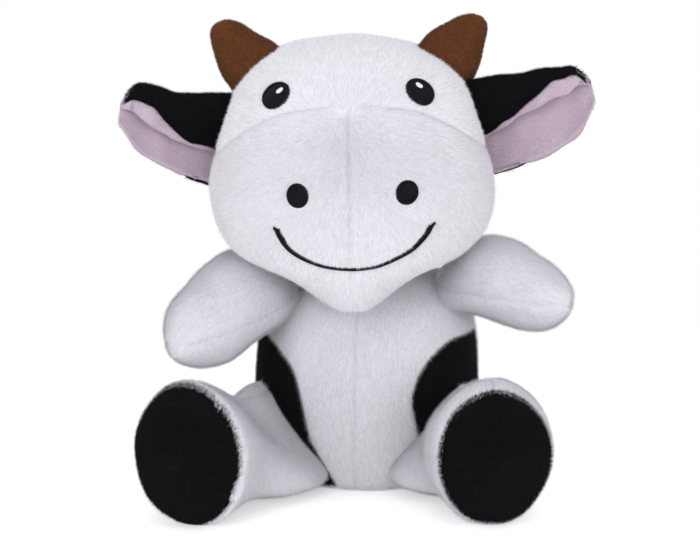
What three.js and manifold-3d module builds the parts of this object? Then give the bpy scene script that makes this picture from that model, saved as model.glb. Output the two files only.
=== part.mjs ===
// A sitting plush cow, sewn from short-pile panels over stuffing.
// Millimetres, +Z up. The origin is the middle of the seat's underside, the cow faces -Y,
// and left and right are those of someone who looks at its face, so left is -X.

import * as THREE from 'three';
import { mergeVertices } from 'three/addons/utils/BufferGeometryUtils.js';
import Module from 'manifold-3d';

const wasm = await Module();
wasm.setup();

// Driving sizes

const skin = 1.6;
const seamGap = 0.3;
const fillGap = 1;
const overrun = 20;
const weldReach = 0.0005;
const floorFlat = 0.5;
const motionGap = 0.8;
const socketGap = 0.9;

const torsoWidth = 101;
const torsoFore = 45;
const torsoAft = 45;
const torsoHeight = 98;
const torsoTurnAngle = -8;
const seatPanelRise = 3.4;
const pouchHeight = 16;

const headWidth = 122;
const headFore = 71;
const headAft = 52;
const headHeight = 111.5;
const headPlaceShares = [-0.1089, -0.1111, 0.88265];
const headTurnAngle = -1.2;
const headLeanAngle = -1.5;
const sideSeamY = 6;

const neckRadius = 17;
const neckPivotShares = [-0.1089, -0.0889, 0.9898];
const nodClearAngles = [-10, 6];
const headLimitAngles = [[-10, 1.5], [0, 1.5], [10, 1.5], [0, 0]];

const armLengthLeft = 47;
const armLengthRight = 44.5;
const armRadiusLeft = 18;
const armRadiusRight = 17;
const armRootRadius = 10;
const shoulderLeftShares = [-0.7129, -0.2889, 0.898];
const shoulderRightShares = [0.7129, -0.3111, 0.9184];
const armAimLeft = [-36, -29, -10];
const armAimRight = [38, -24, -2];
const armAnglesLeft = [-3, 14];
const armAnglesRight = [-4, 16];
const shoulderAxis = [0, 1, 0];

const legLength = 84.5;
const footHalfWidth = 25.5;
const footHalfHeight = 30.5;
const hipRadius = 16;
const hipHeight = 24;
const hipLeftShares = [-0.8119, -0.3333];
const hipRightShares = [0.7129, -0.2667];
const legTurnAngleLeft = 24;
const legTurnAngleRight = 11;
const legAngles = [-9, 6];
const rootFlare = 1.1;
const rootFlareShares = [0.3, 0.8];
const soleStartShare = 0.985;

const hornLength = 27;
const hornHalfWidth = 14;
const hornHalfDepth = 10;
const hornSink = 4;
const hornLeftShares = [-0.677, 0, 0.8816];
const hornRightShares = [0.677, 0, 0.8816];
const hornSplayAngle = 38.4;

const earLengthLeft = 46;
const earLengthRight = 51;
const earHalfWidth = 20.5;
const earBackThickness = 2;
const earLiningThickness = 1.4;
const earCup = 7;
const earLayerGap = 0.6;
const earLeftShares = [-0.959, 0.0385, 0.613];
const earRightShares = [0.966, 0.0385, 0.634];
const earRiseAngleLeft = 13;
const earRiseAngleRight = 14;
const earForwardAngle = 12;
const earAngles = [-15, 15];

const eyeHalfLength = 6.5;
const eyeHalfWidth = 4.6;
const eyeTiltAngle = 35;
const eyePlaceShares = [0.5016, 0.81];
const glintRadius = 1.4;
const glintPlace = [0.8, 1.8];
const glintRise = 0.4;
const nostrilRadius = 4.6;
const nostrilPlaceShares = [0.3754, 0.4565];
const threadRise = 0.9;
const smileHalfWidth = 32;
const smileEndShare = 0.325;
const smileDrop = 16.8;
const smileThread = 2.2;

const tailLength = 46;
const tailRadius = 3.6;
const tuftLength = 20;
const tuftRadius = 6.5;
const tailPlaceShares = [0, 0.9444, 0.3673];
const tailDroopAngle = 38;
const tailAngles = [-12, 15];

// Facets round each form

const headAround = 24;
const headRings = 14;
const torsoAround = 22;
const torsoRings = 11;
const legAround = 16;
const legRings = 8;
const armAround = 12;
const armRings = 8;
const fillShare = 0.6;
const smallAround = 10;
const smallRings = 5;
const ballAround = 14;
const ballRings = 8;
const earColumns = 9;
const earRows = 6;
const flapRows = 4;

// Colours of the pile and threads

const white = { color: 0xf1f0f4, roughness: 0.95, metalness: 0 };
const black = { color: 0x121216, roughness: 0.95, metalness: 0 };
const brown = { color: 0x643e26, roughness: 0.9, metalness: 0 };
const pink = { color: 0xd9c3d6, roughness: 0.9, metalness: 0 };
const thread = { color: 0x101018, roughness: 0.5, metalness: 0 };
const highlight = { color: 0xe6e2f0, roughness: 0.5, metalness: 0 };
const stuffing = { color: 0xf7f7f2, roughness: 1, metalness: 0 };
const pouchCloth = { color: 0xd8d4c8, roughness: 0.95, metalness: 0 };

// Solids

function solidOf(geometry) {
  const bare = geometry.clone();
  bare.deleteAttribute('normal');
  bare.deleteAttribute('uv');
  const merged = mergeVertices(bare, weldReach);
  const vertProperties = new Float32Array(merged.attributes.position.array);
  const triVerts = new Uint32Array(merged.index.array);
  return new wasm.Manifold(new wasm.Mesh({ numProp: 3, vertProperties, triVerts }));
}

function geometryOf(solid) {
  const { vertProperties, triVerts } = solid.getMesh();
  const geometry = new THREE.BufferGeometry();
  geometry.setAttribute('position', new THREE.BufferAttribute(new Float32Array(vertProperties), 3));
  geometry.setIndex(new THREE.BufferAttribute(new Uint32Array(triVerts), 1));
  const faceted = geometry.toNonIndexed();
  faceted.computeVertexNormals();
  return faceted;
}

function add(group, name, solid, finish) {
  const mesh = new THREE.Mesh(geometryOf(solid), new THREE.MeshStandardMaterial(finish));
  mesh.name = name;
  group.add(mesh);
}

function placed(geometry, place) {
  return geometry.clone().translate(...place);
}

function box(low, high) {
  const size = low.map((value, k) => high[k] - value);
  const middle = low.map((value, k) => (high[k] + value) / 2);
  return solidOf(placed(new THREE.BoxGeometry(...size), middle));
}

function ball(radius, place) {
  return solidOf(placed(new THREE.SphereGeometry(radius, ballAround, ballRings), place));
}

// A closed form is a stack of rings along +Z. A ring reaches `wide` to each side, from -fore to
// +aft, and is widest at the y of `mid`. Between the rows of a table the rings follow a curve.

function ringsAlong(rows, count) {
  const outline = new THREE.CatmullRomCurve3(
    rows.map(({ at, wide, mid }) => new THREE.Vector3(at, wide, mid)), false, 'catmullrom');
  const reach = new THREE.CatmullRomCurve3(
    rows.map(({ fore, aft }) => new THREE.Vector3(fore, aft, 0)), false, 'catmullrom');
  const rings = [];
  for (let k = 0; k <= count; k += 1) {
    const a = outline.getPoint(k / count);
    const b = reach.getPoint(k / count);
    rings.push({ at: a.x, wide: Math.max(a.y, 0), mid: a.z, fore: b.x, aft: b.y });
  }
  return rings;
}

function ringPoint({ at, wide, mid, fore, aft }, share) {
  const angle = share * 2 * Math.PI;
  const side = Math.cos(angle);
  const depth = Math.sin(angle);
  const y = depth < 0 ? mid + (fore + mid) * depth : mid + (aft - mid) * depth;
  return [wide * side, y, at];
}

function closedForm(rings, around) {
  const points = [];
  const faces = [];
  const first = rings[0];
  const last = rings[rings.length - 1];
  const inner = rings.slice(1, -1);
  points.push([0, first.mid, first.at]);
  inner.forEach((ring) => {
    for (let k = 0; k < around; k += 1) points.push(ringPoint(ring, k / around));
  });
  points.push([0, last.mid, last.at]);
  const top = points.length - 1;
  const index = (ring, k) => 1 + ring * around + (k % around);
  for (let k = 0; k < around; k += 1) {
    faces.push(0, index(0, k + 1), index(0, k));
    faces.push(top, index(inner.length - 1, k), index(inner.length - 1, k + 1));
    for (let ring = 0; ring < inner.length - 1; ring += 1) {
      const [a, b] = [index(ring, k), index(ring, k + 1)];
      const [c, d] = [index(ring + 1, k + 1), index(ring + 1, k)];
      faces.push(a, b, c, a, c, d);
    }
  }
  const geometry = new THREE.BufferGeometry();
  geometry.setAttribute('position', new THREE.Float32BufferAttribute(points.flat(), 3));
  geometry.setIndex(faces);
  geometry.computeVertexNormals();
  return geometry;
}

// The same rings drawn in by a distance, as the inside of a skin or the stuffing under it.

function drawnIn(rings, distance) {
  const low = rings[0].at;
  const high = rings[rings.length - 1].at;
  const middle = (low + high) / 2;
  const squeeze = 1 - (2 * distance) / (high - low);
  return rings.map(({ at, wide, mid, fore, aft }) => {
    const halfDepth = (fore + aft) / 2;
    const inset = Math.min(distance, halfDepth);
    return {
      at: middle + (at - middle) * squeeze,
      wide: Math.max(wide - distance, 0),
      mid: THREE.MathUtils.clamp(mid, -fore + inset, aft - inset),
      fore: fore - inset,
      aft: aft - inset,
    };
  });
}

// Frames

function frame(parent, place, turns = [0, 0, 0]) {
  const group = new THREE.Group();
  group.position.set(...place);
  group.rotation.set(...turns.map(THREE.MathUtils.degToRad));
  parent.add(group);
  group.updateWorldMatrix(true, false);
  return group;
}

function aimed(parent, place, direction, upward) {
  const group = new THREE.Group();
  const z = new THREE.Vector3(...direction).normalize();
  const x = new THREE.Vector3(...upward).cross(z).normalize();
  const y = z.clone().cross(x);
  group.quaternion.setFromRotationMatrix(new THREE.Matrix4().makeBasis(x, y, z));
  group.position.set(...place);
  parent.add(group);
  group.updateWorldMatrix(true, false);
  return group;
}

function seenFrom(own, other, geometry, motion = new THREE.Matrix4()) {
  const carry = other.matrixWorld.clone().invert().multiply(motion).multiply(own.matrixWorld);
  return geometry.clone().applyMatrix4(carry);
}

function turnAbout(place, axis, degrees) {
  const turn = new THREE.Matrix4().makeRotationAxis(
    new THREE.Vector3(...axis).normalize(), THREE.MathUtils.degToRad(degrees));
  const [x, y, z] = place;
  return new THREE.Matrix4().makeTranslation(x, y, z)
    .multiply(turn).multiply(new THREE.Matrix4().makeTranslation(-x, -y, -z));
}

// Places are shares of the half width, the depth to the side that they lie on, and the height.

function placeIn(width, fore, aft, height) {
  return ([x, y, z]) => [(x * width) / 2, y < 0 ? y * fore : y * aft, z * height];
}

const inTorsoPlace = placeIn(torsoWidth, torsoFore, torsoAft, torsoHeight);
const inHeadPlace = placeIn(headWidth, headFore, headAft, headHeight);
const headPlace = inTorsoPlace(headPlaceShares);
const neckPivot = inTorsoPlace(neckPivotShares);
const [shoulderLeft, shoulderRight] = [shoulderLeftShares, shoulderRightShares].map(inTorsoPlace);
const [hipLeft, hipRight] = [hipLeftShares, hipRightShares].map(
  (shares) => inTorsoPlace([...shares, hipHeight / torsoHeight]));

const cow = new THREE.Group();
const torso = frame(cow, [0, 0, 0], [0, 0, torsoTurnAngle]);
const head = frame(cow, headPlace, [0, headLeanAngle, headTurnAngle]);

// Torso: a pear that stands on a flat seat. Rows are shares of its height, half width, fore and aft.

const torsoShares = [
  [0, 0, 0, 0], [0.005, 0.68, 0.68, 0.7], [0.035, 0.85, 0.84, 0.86], [0.11, 0.96, 0.95, 0.96],
  [0.25, 1, 1, 1], [0.42, 0.99, 0.985, 0.98], [0.58, 0.97, 0.93, 0.93], [0.72, 0.945, 0.86, 0.86],
  [0.83, 0.9, 0.78, 0.78], [0.91, 0.78, 0.66, 0.66], [0.965, 0.56, 0.47, 0.47],
  [0.993, 0.25, 0.22, 0.22], [1, 0, 0, 0],
];
const torsoRows = torsoShares.map(([up, wide, fore, aft]) => ({
  at: up * (torsoHeight + floorFlat) - floorFlat,
  wide: (wide * torsoWidth) / 2,
  mid: 0,
  fore: fore * torsoFore,
  aft: aft * torsoAft,
}));

// Head: a broad muzzle that swells forward over a pointed chin, under a rounder crown.

const headShares = [
  [0, 0.06, 0.72, -0.9, -0.7], [0.02, 0.15, 0.79, -0.76, -0.68], [0.062, 0.275, 0.87, -0.4, -0.58],
  [0.118, 0.47, 0.935, 0.24, -0.4], [0.166, 0.7, 0.965, 0.62, -0.28], [0.22, 0.87, 0.985, 0.79, -0.21],
  [0.31, 0.97, 1, 0.9, -0.18], [0.444, 1, 0.965, 0.98, -0.15], [0.57, 0.968, 0.88, 1, -0.09],
  [0.677, 0.92, 0.775, 0.98, -0.03], [0.794, 0.85, 0.675, 0.9, 0], [0.892, 0.71, 0.55, 0.75, 0],
  [0.96, 0.48, 0.38, 0.52, 0], [0.991, 0.25, 0.2, 0.27, 0], [1, 0, 0, 0, 0],
];
const headRows = headShares.map(([up, wide, fore, aft, mid]) => ({
  at: up * headHeight,
  wide: (wide * headWidth) / 2,
  mid: mid * headFore,
  fore: fore * headFore,
  aft: aft * headAft,
}));

const torsoOutline = ringsAlong(torsoRows, torsoRings);
const headOutline = ringsAlong(headRows, headRings);
const torsoBody = closedForm(torsoOutline, torsoAround);
const torsoEnvelope = closedForm(drawnIn(torsoOutline, -motionGap), torsoAround);

function largest(solid) {
  return solid.decompose().sort((a, b) => b.volume() - a.volume())[0];
}

function leftOf(x, reach) {
  return box([-reach, -reach, -reach], [x - seamGap / 2, reach, reach]);
}

function rightOf(x, reach) {
  return box([x + seamGap / 2, -reach, -reach], [reach, reach, reach]);
}

function aheadOf(y, reach) {
  return box([-reach, -reach, -reach], [reach, y - seamGap / 2, reach]);
}

function behind(y, reach) {
  return box([-reach, y + seamGap / 2, -reach], [reach, reach, reach]);
}

function below(z, reach) {
  return box([-reach, -reach, -reach], [reach, reach, z]);
}

// A region seen from the front: an outline of x and z, carried straight back through the form.

function frontRegion(points, reach, grow = 0) {
  const curve = new THREE.CatmullRomCurve3(
    points.map(([x, z]) => new THREE.Vector3(x, z, 0)), true, 'catmullrom');
  const spread = curve.getPoints(points.length * 3).slice(0, -1);
  const outline = spread.map(({ x, y }) => new THREE.Vector2(x, y));
  const winding = Math.sign(THREE.ShapeUtils.area(outline));
  const grown = outline.map((point, k) => {
    const next = outline[(k + 1) % outline.length];
    const last = outline[(k + outline.length - 1) % outline.length];
    const along = next.clone().sub(last).normalize();
    return new THREE.Vector2(along.y, -along.x).multiplyScalar(winding * grow).add(point);
  });
  const shape = new THREE.Shape(grown.map(({ x, y }) => new THREE.Vector2(x, y)));
  const prism = new THREE.ExtrudeGeometry(shape, { depth: reach, bevelEnabled: false });
  return solidOf(prism.rotateX(Math.PI / 2).translate(0, overrun, 0));
}

// What another body would touch at the limits of a turn is cut away from the piece that turns.

function clearOfBody(limb, solid, place, axis, range, others) {
  return others.reduce((kept, [own, envelope]) => range.reduce((left, degrees) => (
    left.subtract(solidOf(seenFrom(own, limb, envelope, turnAbout(place, axis, -degrees))))
  ), kept), solid);
}

// Torso pieces

const sockets = [shoulderLeft, shoulderRight].map((place) => [place, armRootRadius])
  .concat([hipLeft, hipRight].map((place) => [place, hipRadius]))
  .concat([[neckPivot, neckRadius]]);

function withSockets(solid) {
  return sockets.reduce((left, [place, radius]) => {
    const ownPlace = new THREE.Vector3(...place).applyMatrix4(torso.matrixWorld.clone().invert());
    return left.subtract(ball(radius + socketGap, ownPlace.toArray()));
  }, solid);
}

const torsoReach = torsoHeight + overrun;
const torsoInside = closedForm(drawnIn(torsoOutline, skin), torsoAround);
const torsoSkin = withSockets(
  solidOf(torsoBody).subtract(solidOf(torsoInside)).subtract(below(0, torsoReach)));
const seatLine = seatPanelRise - seamGap / 2;
const torsoUpper = torsoSkin.subtract(below(seatLine + seamGap, torsoReach));
const torsoFront = torsoUpper.intersect(aheadOf(0, torsoReach));
const torsoBack = torsoUpper.intersect(behind(0, torsoReach));

const halfTorso = torsoWidth / 2;
const flankLeftShares = [
  [-1.3, 0.72], [-0.92, 0.7], [-0.78, 0.665], [-0.65, 0.611], [-0.553, 0.552], [-0.48, 0.438],
  [-0.392, 0.262], [-0.242, 0.123], [-0.17, 0], [-0.25, -0.1], [-0.8, -0.1], [-1.3, 0.1],
];
const flankRightShares = [
  [1.3, 0.72], [0.93, 0.7], [0.8, 0.69], [0.66, 0.635], [0.553, 0.56], [0.5, 0.48],
  [0.495, 0.42], [0.53, 0.33], [0.58, 0.23], [0.68, 0.14], [0.9, 0.08], [1.3, 0.08],
];
const inTorso = ([x, z]) => [x * halfTorso, z * torsoHeight];
const flankLeft = flankLeftShares.map(inTorso);
const flankRight = flankRightShares.map(inTorso);
const bellyFront = torsoFront
  .subtract(frontRegion(flankLeft, torsoReach, seamGap))
  .subtract(frontRegion(flankRight, torsoReach, seamGap));

add(torso, 'belly_left', largest(bellyFront.intersect(leftOf(0, torsoReach))), white);
add(torso, 'belly_right', largest(bellyFront.intersect(rightOf(0, torsoReach))), white);
add(torso, 'flank_patch_left',
  largest(torsoFront.intersect(frontRegion(flankLeft, torsoReach))), black);
add(torso, 'flank_patch_right',
  largest(torsoFront.intersect(frontRegion(flankRight, torsoReach))), black);
add(torso, 'back_left', largest(torsoBack.intersect(leftOf(0, torsoReach))), white);
add(torso, 'back_right', largest(torsoBack.intersect(rightOf(0, torsoReach))), white);
add(torso, 'seat_panel', largest(torsoSkin.intersect(below(seatLine, torsoReach))), white);

const pouchShares = [
  [0, 0, 0, 0], [0.08, 0.62, 0.62, 0.62], [0.45, 0.74, 0.72, 0.72], [0.9, 0.6, 0.6, 0.6],
  [1, 0, 0, 0],
];
const pouchFloor = skin + seamGap;
const pouchOutline = ringsAlong(pouchShares.map(([up, wide, fore, aft]) => ({
  at: pouchFloor + up * pouchHeight,
  wide: (wide * torsoWidth) / 2,
  mid: 0,
  fore: fore * torsoFore,
  aft: aft * torsoAft,
})), smallRings);
const pouch = withSockets(solidOf(closedForm(pouchOutline, smallAround)));
const pouchRoom = closedForm(drawnIn(pouchOutline, -seamGap), smallAround);
const torsoFillAround = Math.round(torsoAround * fillShare);
const torsoFillOutline = drawnIn(torsoOutline, skin + fillGap);
const torsoFill = withSockets(solidOf(closedForm(torsoFillOutline, torsoFillAround)));
add(torso, 'pellet_pouch', largest(pouch), pouchCloth);
add(torso, 'torso_stuffing', largest(torsoFill.subtract(solidOf(pouchRoom))), stuffing);

const neck = frame(cow, neckPivot);
add(neck, 'neck_stuffing', ball(neckRadius, [0, 0, 0]), stuffing);

// Head pieces

const headReach = 2 * headHeight;
const ownNeck = new THREE.Vector3(...neckPivot).applyMatrix4(head.matrixWorld.clone().invert());
const neckSocket = ball(neckRadius + socketGap, ownNeck.toArray());

function clearOfTorso(solid) {
  return nodClearAngles.concat([0]).reduce((left, degrees) => {
    const nod = turnAbout(neckPivot, [1, 0, 0], -degrees);
    return left.subtract(solidOf(seenFrom(torso, head, torsoEnvelope, nod)));
  }, solid.subtract(neckSocket));
}

const headBody = solidOf(closedForm(headOutline, headAround));
const headInside = solidOf(closedForm(drawnIn(headOutline, skin), headAround));
const headSkin = clearOfTorso(headBody.subtract(headInside));
const headFront = headSkin.intersect(aheadOf(sideSeamY, headReach));
const headBack = headSkin.intersect(behind(sideSeamY, headReach));

const browShares = [
  [-1.3, 0.4], [-1.02, 0.535], [-0.8, 0.645], [-0.5, 0.738], [-0.2, 0.768], [0, 0.772],
  [0.2, 0.768], [0.5, 0.738], [0.8, 0.645], [1.02, 0.535], [1.3, 0.4], [1.4, 1.3], [-1.4, 1.3],
];
const inHead = ([x, z]) => [(x * headWidth) / 2, z * headHeight];
const brow = browShares.map(inHead);
const muzzle = headFront.subtract(frontRegion(brow, headReach, seamGap));

add(head, 'forehead', largest(headFront.intersect(frontRegion(brow, headReach))), white);
add(head, 'muzzle_left', largest(muzzle.intersect(leftOf(0, headReach))), white);
add(head, 'muzzle_right', largest(muzzle.intersect(rightOf(0, headReach))), white);
add(head, 'head_back_left', largest(headBack.intersect(leftOf(0, headReach))), white);
add(head, 'head_back_right', largest(headBack.intersect(rightOf(0, headReach))), white);

const headFillAround = Math.round(headAround * fillShare);
const headFillOutline = drawnIn(headOutline, skin + fillGap);
const headFill = clearOfTorso(solidOf(closedForm(headFillOutline, headFillAround)));
add(head, 'head_stuffing', largest(headFill), stuffing);

// Stitching stands proud of the pile as a thin layer that follows the head.

function layer(low, high) {
  const outer = solidOf(closedForm(drawnIn(headOutline, -high), headAround));
  const inner = solidOf(closedForm(drawnIn(headOutline, -low), headAround));
  return outer.subtract(inner).intersect(aheadOf(0, headReach));
}

function oval(place, halfLength, halfWidth, tilt) {
  const flat = new THREE.CylinderGeometry(1, 1, headReach, smallAround);
  flat.translate(0, -headReach / 2, 0);
  flat.scale(halfLength, 1, halfWidth);
  flat.rotateY(THREE.MathUtils.degToRad(tilt));
  flat.translate(place[0], 0, place[1]);
  return solidOf(flat);
}

const stitchLayer = layer(seamGap, seamGap + threadRise);
const glintFloor = 2 * seamGap + threadRise;
const glintLayer = layer(glintFloor, glintFloor + glintRise);
const sides = [['left', -1], ['right', 1]];
const eyePlace = inHead(eyePlaceShares);
const nostrilPlace = inHead(nostrilPlaceShares);
sides.forEach(([side, sign]) => {
  const eyeCentre = [sign * eyePlace[0], eyePlace[1]];
  const eye = oval(eyeCentre, eyeHalfLength, eyeHalfWidth, sign * eyeTiltAngle);
  add(head, `eye_${side}`, largest(stitchLayer.intersect(eye)), thread);
  const glintCentre = [sign * eyePlace[0] + glintPlace[0], eyePlace[1] + glintPlace[1]];
  const glint = oval(glintCentre, glintRadius, glintRadius, 0);
  add(head, `eye_glint_${side}`, largest(glintLayer.intersect(glint)), highlight);
  const nostril = oval([sign * nostrilPlace[0], nostrilPlace[1]], nostrilRadius, nostrilRadius, 0);
  add(head, `nostril_${side}`, largest(stitchLayer.intersect(nostril)), thread);
});

const smileRadius = (smileHalfWidth ** 2 + smileDrop ** 2) / (2 * smileDrop);
const smileHalfAngle = Math.asin(smileHalfWidth / smileRadius);
const smileCentre = smileEndShare * headHeight - smileDrop + smileRadius;
const smileShape = new THREE.Shape();
const down = -Math.PI / 2;
const [smileFrom, smileTo] = [down - smileHalfAngle, down + smileHalfAngle];
smileShape.absarc(0, smileCentre, smileRadius + smileThread / 2, smileFrom, smileTo, false);
smileShape.absarc(0, smileCentre, smileRadius - smileThread / 2, smileTo, smileFrom, true);
const smilePrism = new THREE.ExtrudeGeometry(
  smileShape, { depth: headReach, bevelEnabled: false, curveSegments: smallAround });
smilePrism.rotateX(Math.PI / 2);
add(head, 'smile', largest(stitchLayer.intersect(solidOf(smilePrism))), thread);

// Horns: short cones, flattened front to back, sunk where they are sewn into the crown seam.

const hornShares = [
  [0, 0, 0], [0.02, 0.9, 0.85], [0.22, 1, 1], [0.45, 0.82, 0.85], [0.7, 0.55, 0.62],
  [0.92, 0.3, 0.35], [1, 0, 0],
];
const headEnvelope = solidOf(closedForm(drawnIn(headOutline, -seamGap), headAround));
sides.forEach(([side, sign]) => {
  const place = inHeadPlace(side === 'left' ? hornLeftShares : hornRightShares);
  const splay = THREE.MathUtils.degToRad(hornSplayAngle);
  const horn = aimed(head, place, [sign * Math.sin(splay), 0, Math.cos(splay)], [0, 1, 0]);
  const whole = hornLength + hornSink;
  const outline = ringsAlong(hornShares.map(([up, wide, deep]) => ({
    at: up * whole - hornSink,
    wide: wide * hornHalfWidth,
    mid: 0,
    fore: deep * hornHalfDepth,
    aft: deep * hornHalfDepth,
  })), smallRings + 1);
  const headHere = solidOf(seenFrom(head, horn, geometryOf(headEnvelope)));
  const inside = solidOf(closedForm(drawnIn(outline, skin), smallAround));
  const room = solidOf(closedForm(drawnIn(outline, skin + seamGap), smallAround));
  const cloth = solidOf(closedForm(outline, smallAround)).subtract(inside).subtract(headHere);
  add(horn, `horn_${side}`, largest(cloth), brown);
  add(horn, `horn_stuffing_${side}`, largest(room.subtract(headHere)), stuffing);
});

// Ears: a black back whose upper edge folds forward over a pink lining, unstuffed.

const earShares = [
  [0, 1], [0.2, 0.99], [0.42, 0.95], [0.65, 0.88], [0.83, 0.76], [0.94, 0.56], [1, 0.26],
];
const flapShares = [
  [0, 0.6], [0.27, 0.57], [0.45, 0.47], [0.55, 0.37], [0.73, 0.25], [0.9, 0.18], [1, 0.15],
];

function sheet(columns, rows, pointAt, thickness) {
  const points = [];
  [0, thickness].forEach((depth) => {
    for (let i = 0; i <= columns; i += 1) {
      for (let j = 0; j <= rows; j += 1) {
        const [x, y, z] = pointAt(i / columns, (2 * j) / rows - 1);
        points.push([x, y + depth, z]);
      }
    }
  });
  const stride = rows + 1;
  const half = (columns + 1) * stride;
  const faces = [];
  const quad = (a, b, c, d) => faces.push(a, b, c, a, c, d);
  for (let i = 0; i < columns; i += 1) {
    for (let j = 0; j < rows; j += 1) {
      const a = i * stride + j;
      quad(a, a + 1, a + stride + 1, a + stride);
      quad(half + a, half + a + stride, half + a + stride + 1, half + a + 1);
    }
    const low = i * stride;
    const high = low + rows;
    quad(low, low + stride, half + low + stride, half + low);
    quad(high, half + high, half + high + stride, high + stride);
  }
  const end = columns * stride;
  for (let j = 0; j < rows; j += 1) {
    quad(j, half + j, half + j + 1, j + 1);
    quad(end + j, end + j + 1, half + end + j + 1, half + end + j);
  }
  const geometry = new THREE.BufferGeometry();
  geometry.setAttribute('position', new THREE.Float32BufferAttribute(points.flat(), 3));
  geometry.setIndex(faces);
  const solid = solidOf(geometry);
  return solid.volume() > 0 ? solid : solidOf(geometry.setIndex(faces.reverse()));
}

const earOutline = new THREE.SplineCurve(earShares.map(([up, wide]) => new THREE.Vector2(up, wide)));

function earWidth(up) {
  return earOutline.getPoint(up).y * earHalfWidth;
}

const flapOutline = new THREE.SplineCurve(flapShares.map(([up, deep]) => new THREE.Vector2(up, deep)));

function flapDepth(up) {
  return flapOutline.getPoint(up).y * 2 * earWidth(up);
}

sides.forEach(([side, sign]) => {
  const left = side === 'left';
  const place = inHeadPlace(left ? earLeftShares : earRightShares);
  const earLength = left ? earLengthLeft : earLengthRight;
  const rise = THREE.MathUtils.degToRad(left ? earRiseAngleLeft : earRiseAngleRight);
  const forward = THREE.MathUtils.degToRad(earForwardAngle);
  const reach = Math.cos(rise);
  const ear = aimed(head, place,
    [sign * reach * Math.cos(forward), -reach * Math.sin(forward), Math.sin(rise)], [0, 1, 0]);
  const upper = -sign;
  const cupAt = (x, z) => -earCup * Math.min((x / earWidth(z / earLength)) ** 2, 1);
  const fold = 2 * earLayerGap + earLiningThickness + earBackThickness;
  const backAt = (up, across) => {
    const [x, z] = [across * earWidth(up), up * earLength];
    return [x, cupAt(x, z), z];
  };
  const rimAt = (up, across) => {
    const z = up * earLength;
    const x = upper * (earWidth(up) - (flapDepth(up) * (across + 1)) / 2);
    return [x, cupAt(x, z) - fold, z];
  };
  const bridgeAt = (up, across) => {
    const x = upper * (earWidth(up) + (across * earBackThickness) / 2);
    return [x, -earCup - fold, up * earLength];
  };
  const liningAt = (up, across) => {
    const along = (1 + up * (earColumns - 2)) / earColumns;
    const x = across * (earWidth(along) - earBackThickness);
    return [x, cupAt(x, along * earLength) - earLayerGap - earLiningThickness, along * earLength];
  };
  const root = new THREE.Vector3().setFromMatrixPosition(ear.matrixWorld).toArray();
  const hinge = new THREE.Vector3().setFromMatrixColumn(ear.matrixWorld, 0).toArray();
  const clear = (solid) => clearOfBody(
    ear, solid, root, hinge, earAngles, [[head, geometryOf(headEnvelope)]]);
  const back = sheet(earColumns, earRows, backAt, earBackThickness);
  const rim = sheet(earColumns, flapRows, rimAt, earBackThickness);
  const bridge = sheet(earColumns, 1, bridgeAt, fold + earBackThickness);
  const cloth = back.add(rim).add(bridge);
  const lining = sheet(earColumns - 2, earRows, liningAt, earLiningThickness);
  add(ear, `ear_back_${side}`, largest(clear(cloth)), black);
  add(ear, `ear_lining_${side}`, largest(clear(lining)), pink);
});

// Arms and legs: tapering forms whose stuffing ends in a round root that turns in the torso.

const armShares = [
  [-0.1, 0, 0, 0], [0.02, 0.6, 0.6, 0], [0.2, 0.86, 0.86, 0.18], [0.42, 1.02, 1.03, 0.33],
  [0.65, 1.05, 1.05, 0.27], [0.9, 0.98, 0.98, 0.1], [1.1, 0.84, 0.84, 0.02], [1.25, 0.58, 0.58, 0],
  [1.335, 0.3, 0.3, 0], [1.365, 0, 0, 0],
];
const headClearance = closedForm(drawnIn(headOutline, -motionGap), headAround);
const headSweep = headLimitAngles.map(([turn, nod]) => {
  const motion = turnAbout(neckPivot, [0, 0, 1], turn).multiply(turnAbout(neckPivot, [1, 0, 0], nod));
  return [cow, seenFrom(head, cow, headClearance, motion)];
});
const arms = [
  ['left', shoulderLeft, armAimLeft, armAnglesLeft, armLengthLeft, armRadiusLeft],
  ['right', shoulderRight, armAimRight, armAnglesRight, armLengthRight, armRadiusRight],
];
arms.forEach(([side, place, direction, range, length, radius]) => {
  const arm = aimed(cow, place, direction, [0, 0, 1]);
  const outline = ringsAlong(armShares.map(([along, wide, high, arch]) => ({
    at: along * length,
    wide: wide * radius,
    mid: arch * radius,
    fore: (high - arch) * radius,
    aft: (high + arch) * radius,
  })), armRings);
  const around = Math.round(armAround * fillShare);
  const clear = (solid) => clearOfBody(
    arm, solid, place, shoulderAxis, range, [[torso, torsoEnvelope], ...headSweep]);
  const outer = solidOf(closedForm(outline, armAround));
  const inner = solidOf(closedForm(drawnIn(outline, skin), armAround));
  const fill = solidOf(closedForm(drawnIn(outline, skin + fillGap), around));
  const cloth = clear(outer.subtract(inner)).subtract(ball(armRootRadius + seamGap, [0, 0, 0]));
  const reach = 2 * length;
  add(arm, `arm_upper_${side}`, largest(cloth.intersect(behind(0, reach))), white);
  add(arm, `arm_lower_${side}`, largest(cloth.intersect(aheadOf(0, reach))), white);
  const root = ball(armRootRadius, [0, 0, 0]);
  add(arm, `arm_stuffing_${side}`, largest(clear(fill).add(root)), stuffing);
});

const legShares = [
  [-0.06, 0, 0, 0.78], [0.04, 0.66, 0.66, 0.78], [0.16, 0.78, 0.73, 0.78], [0.36, 0.82, 0.75, 0.79],
  [0.56, 0.87, 0.79, 0.82], [0.76, 0.97, 0.94, 0.96], [0.9, 1, 1, 1], [0.95, 0.985, 0.985, 1],
  [0.985, 0.94, 0.94, 0.985], [1.002, 0.88, 0.88, 0.975], [1.012, 0.55, 0.55, 0.975], [1.015, 0, 0, 0.975],
];

// A leg spreads out on the floor where it leaves the torso.

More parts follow.
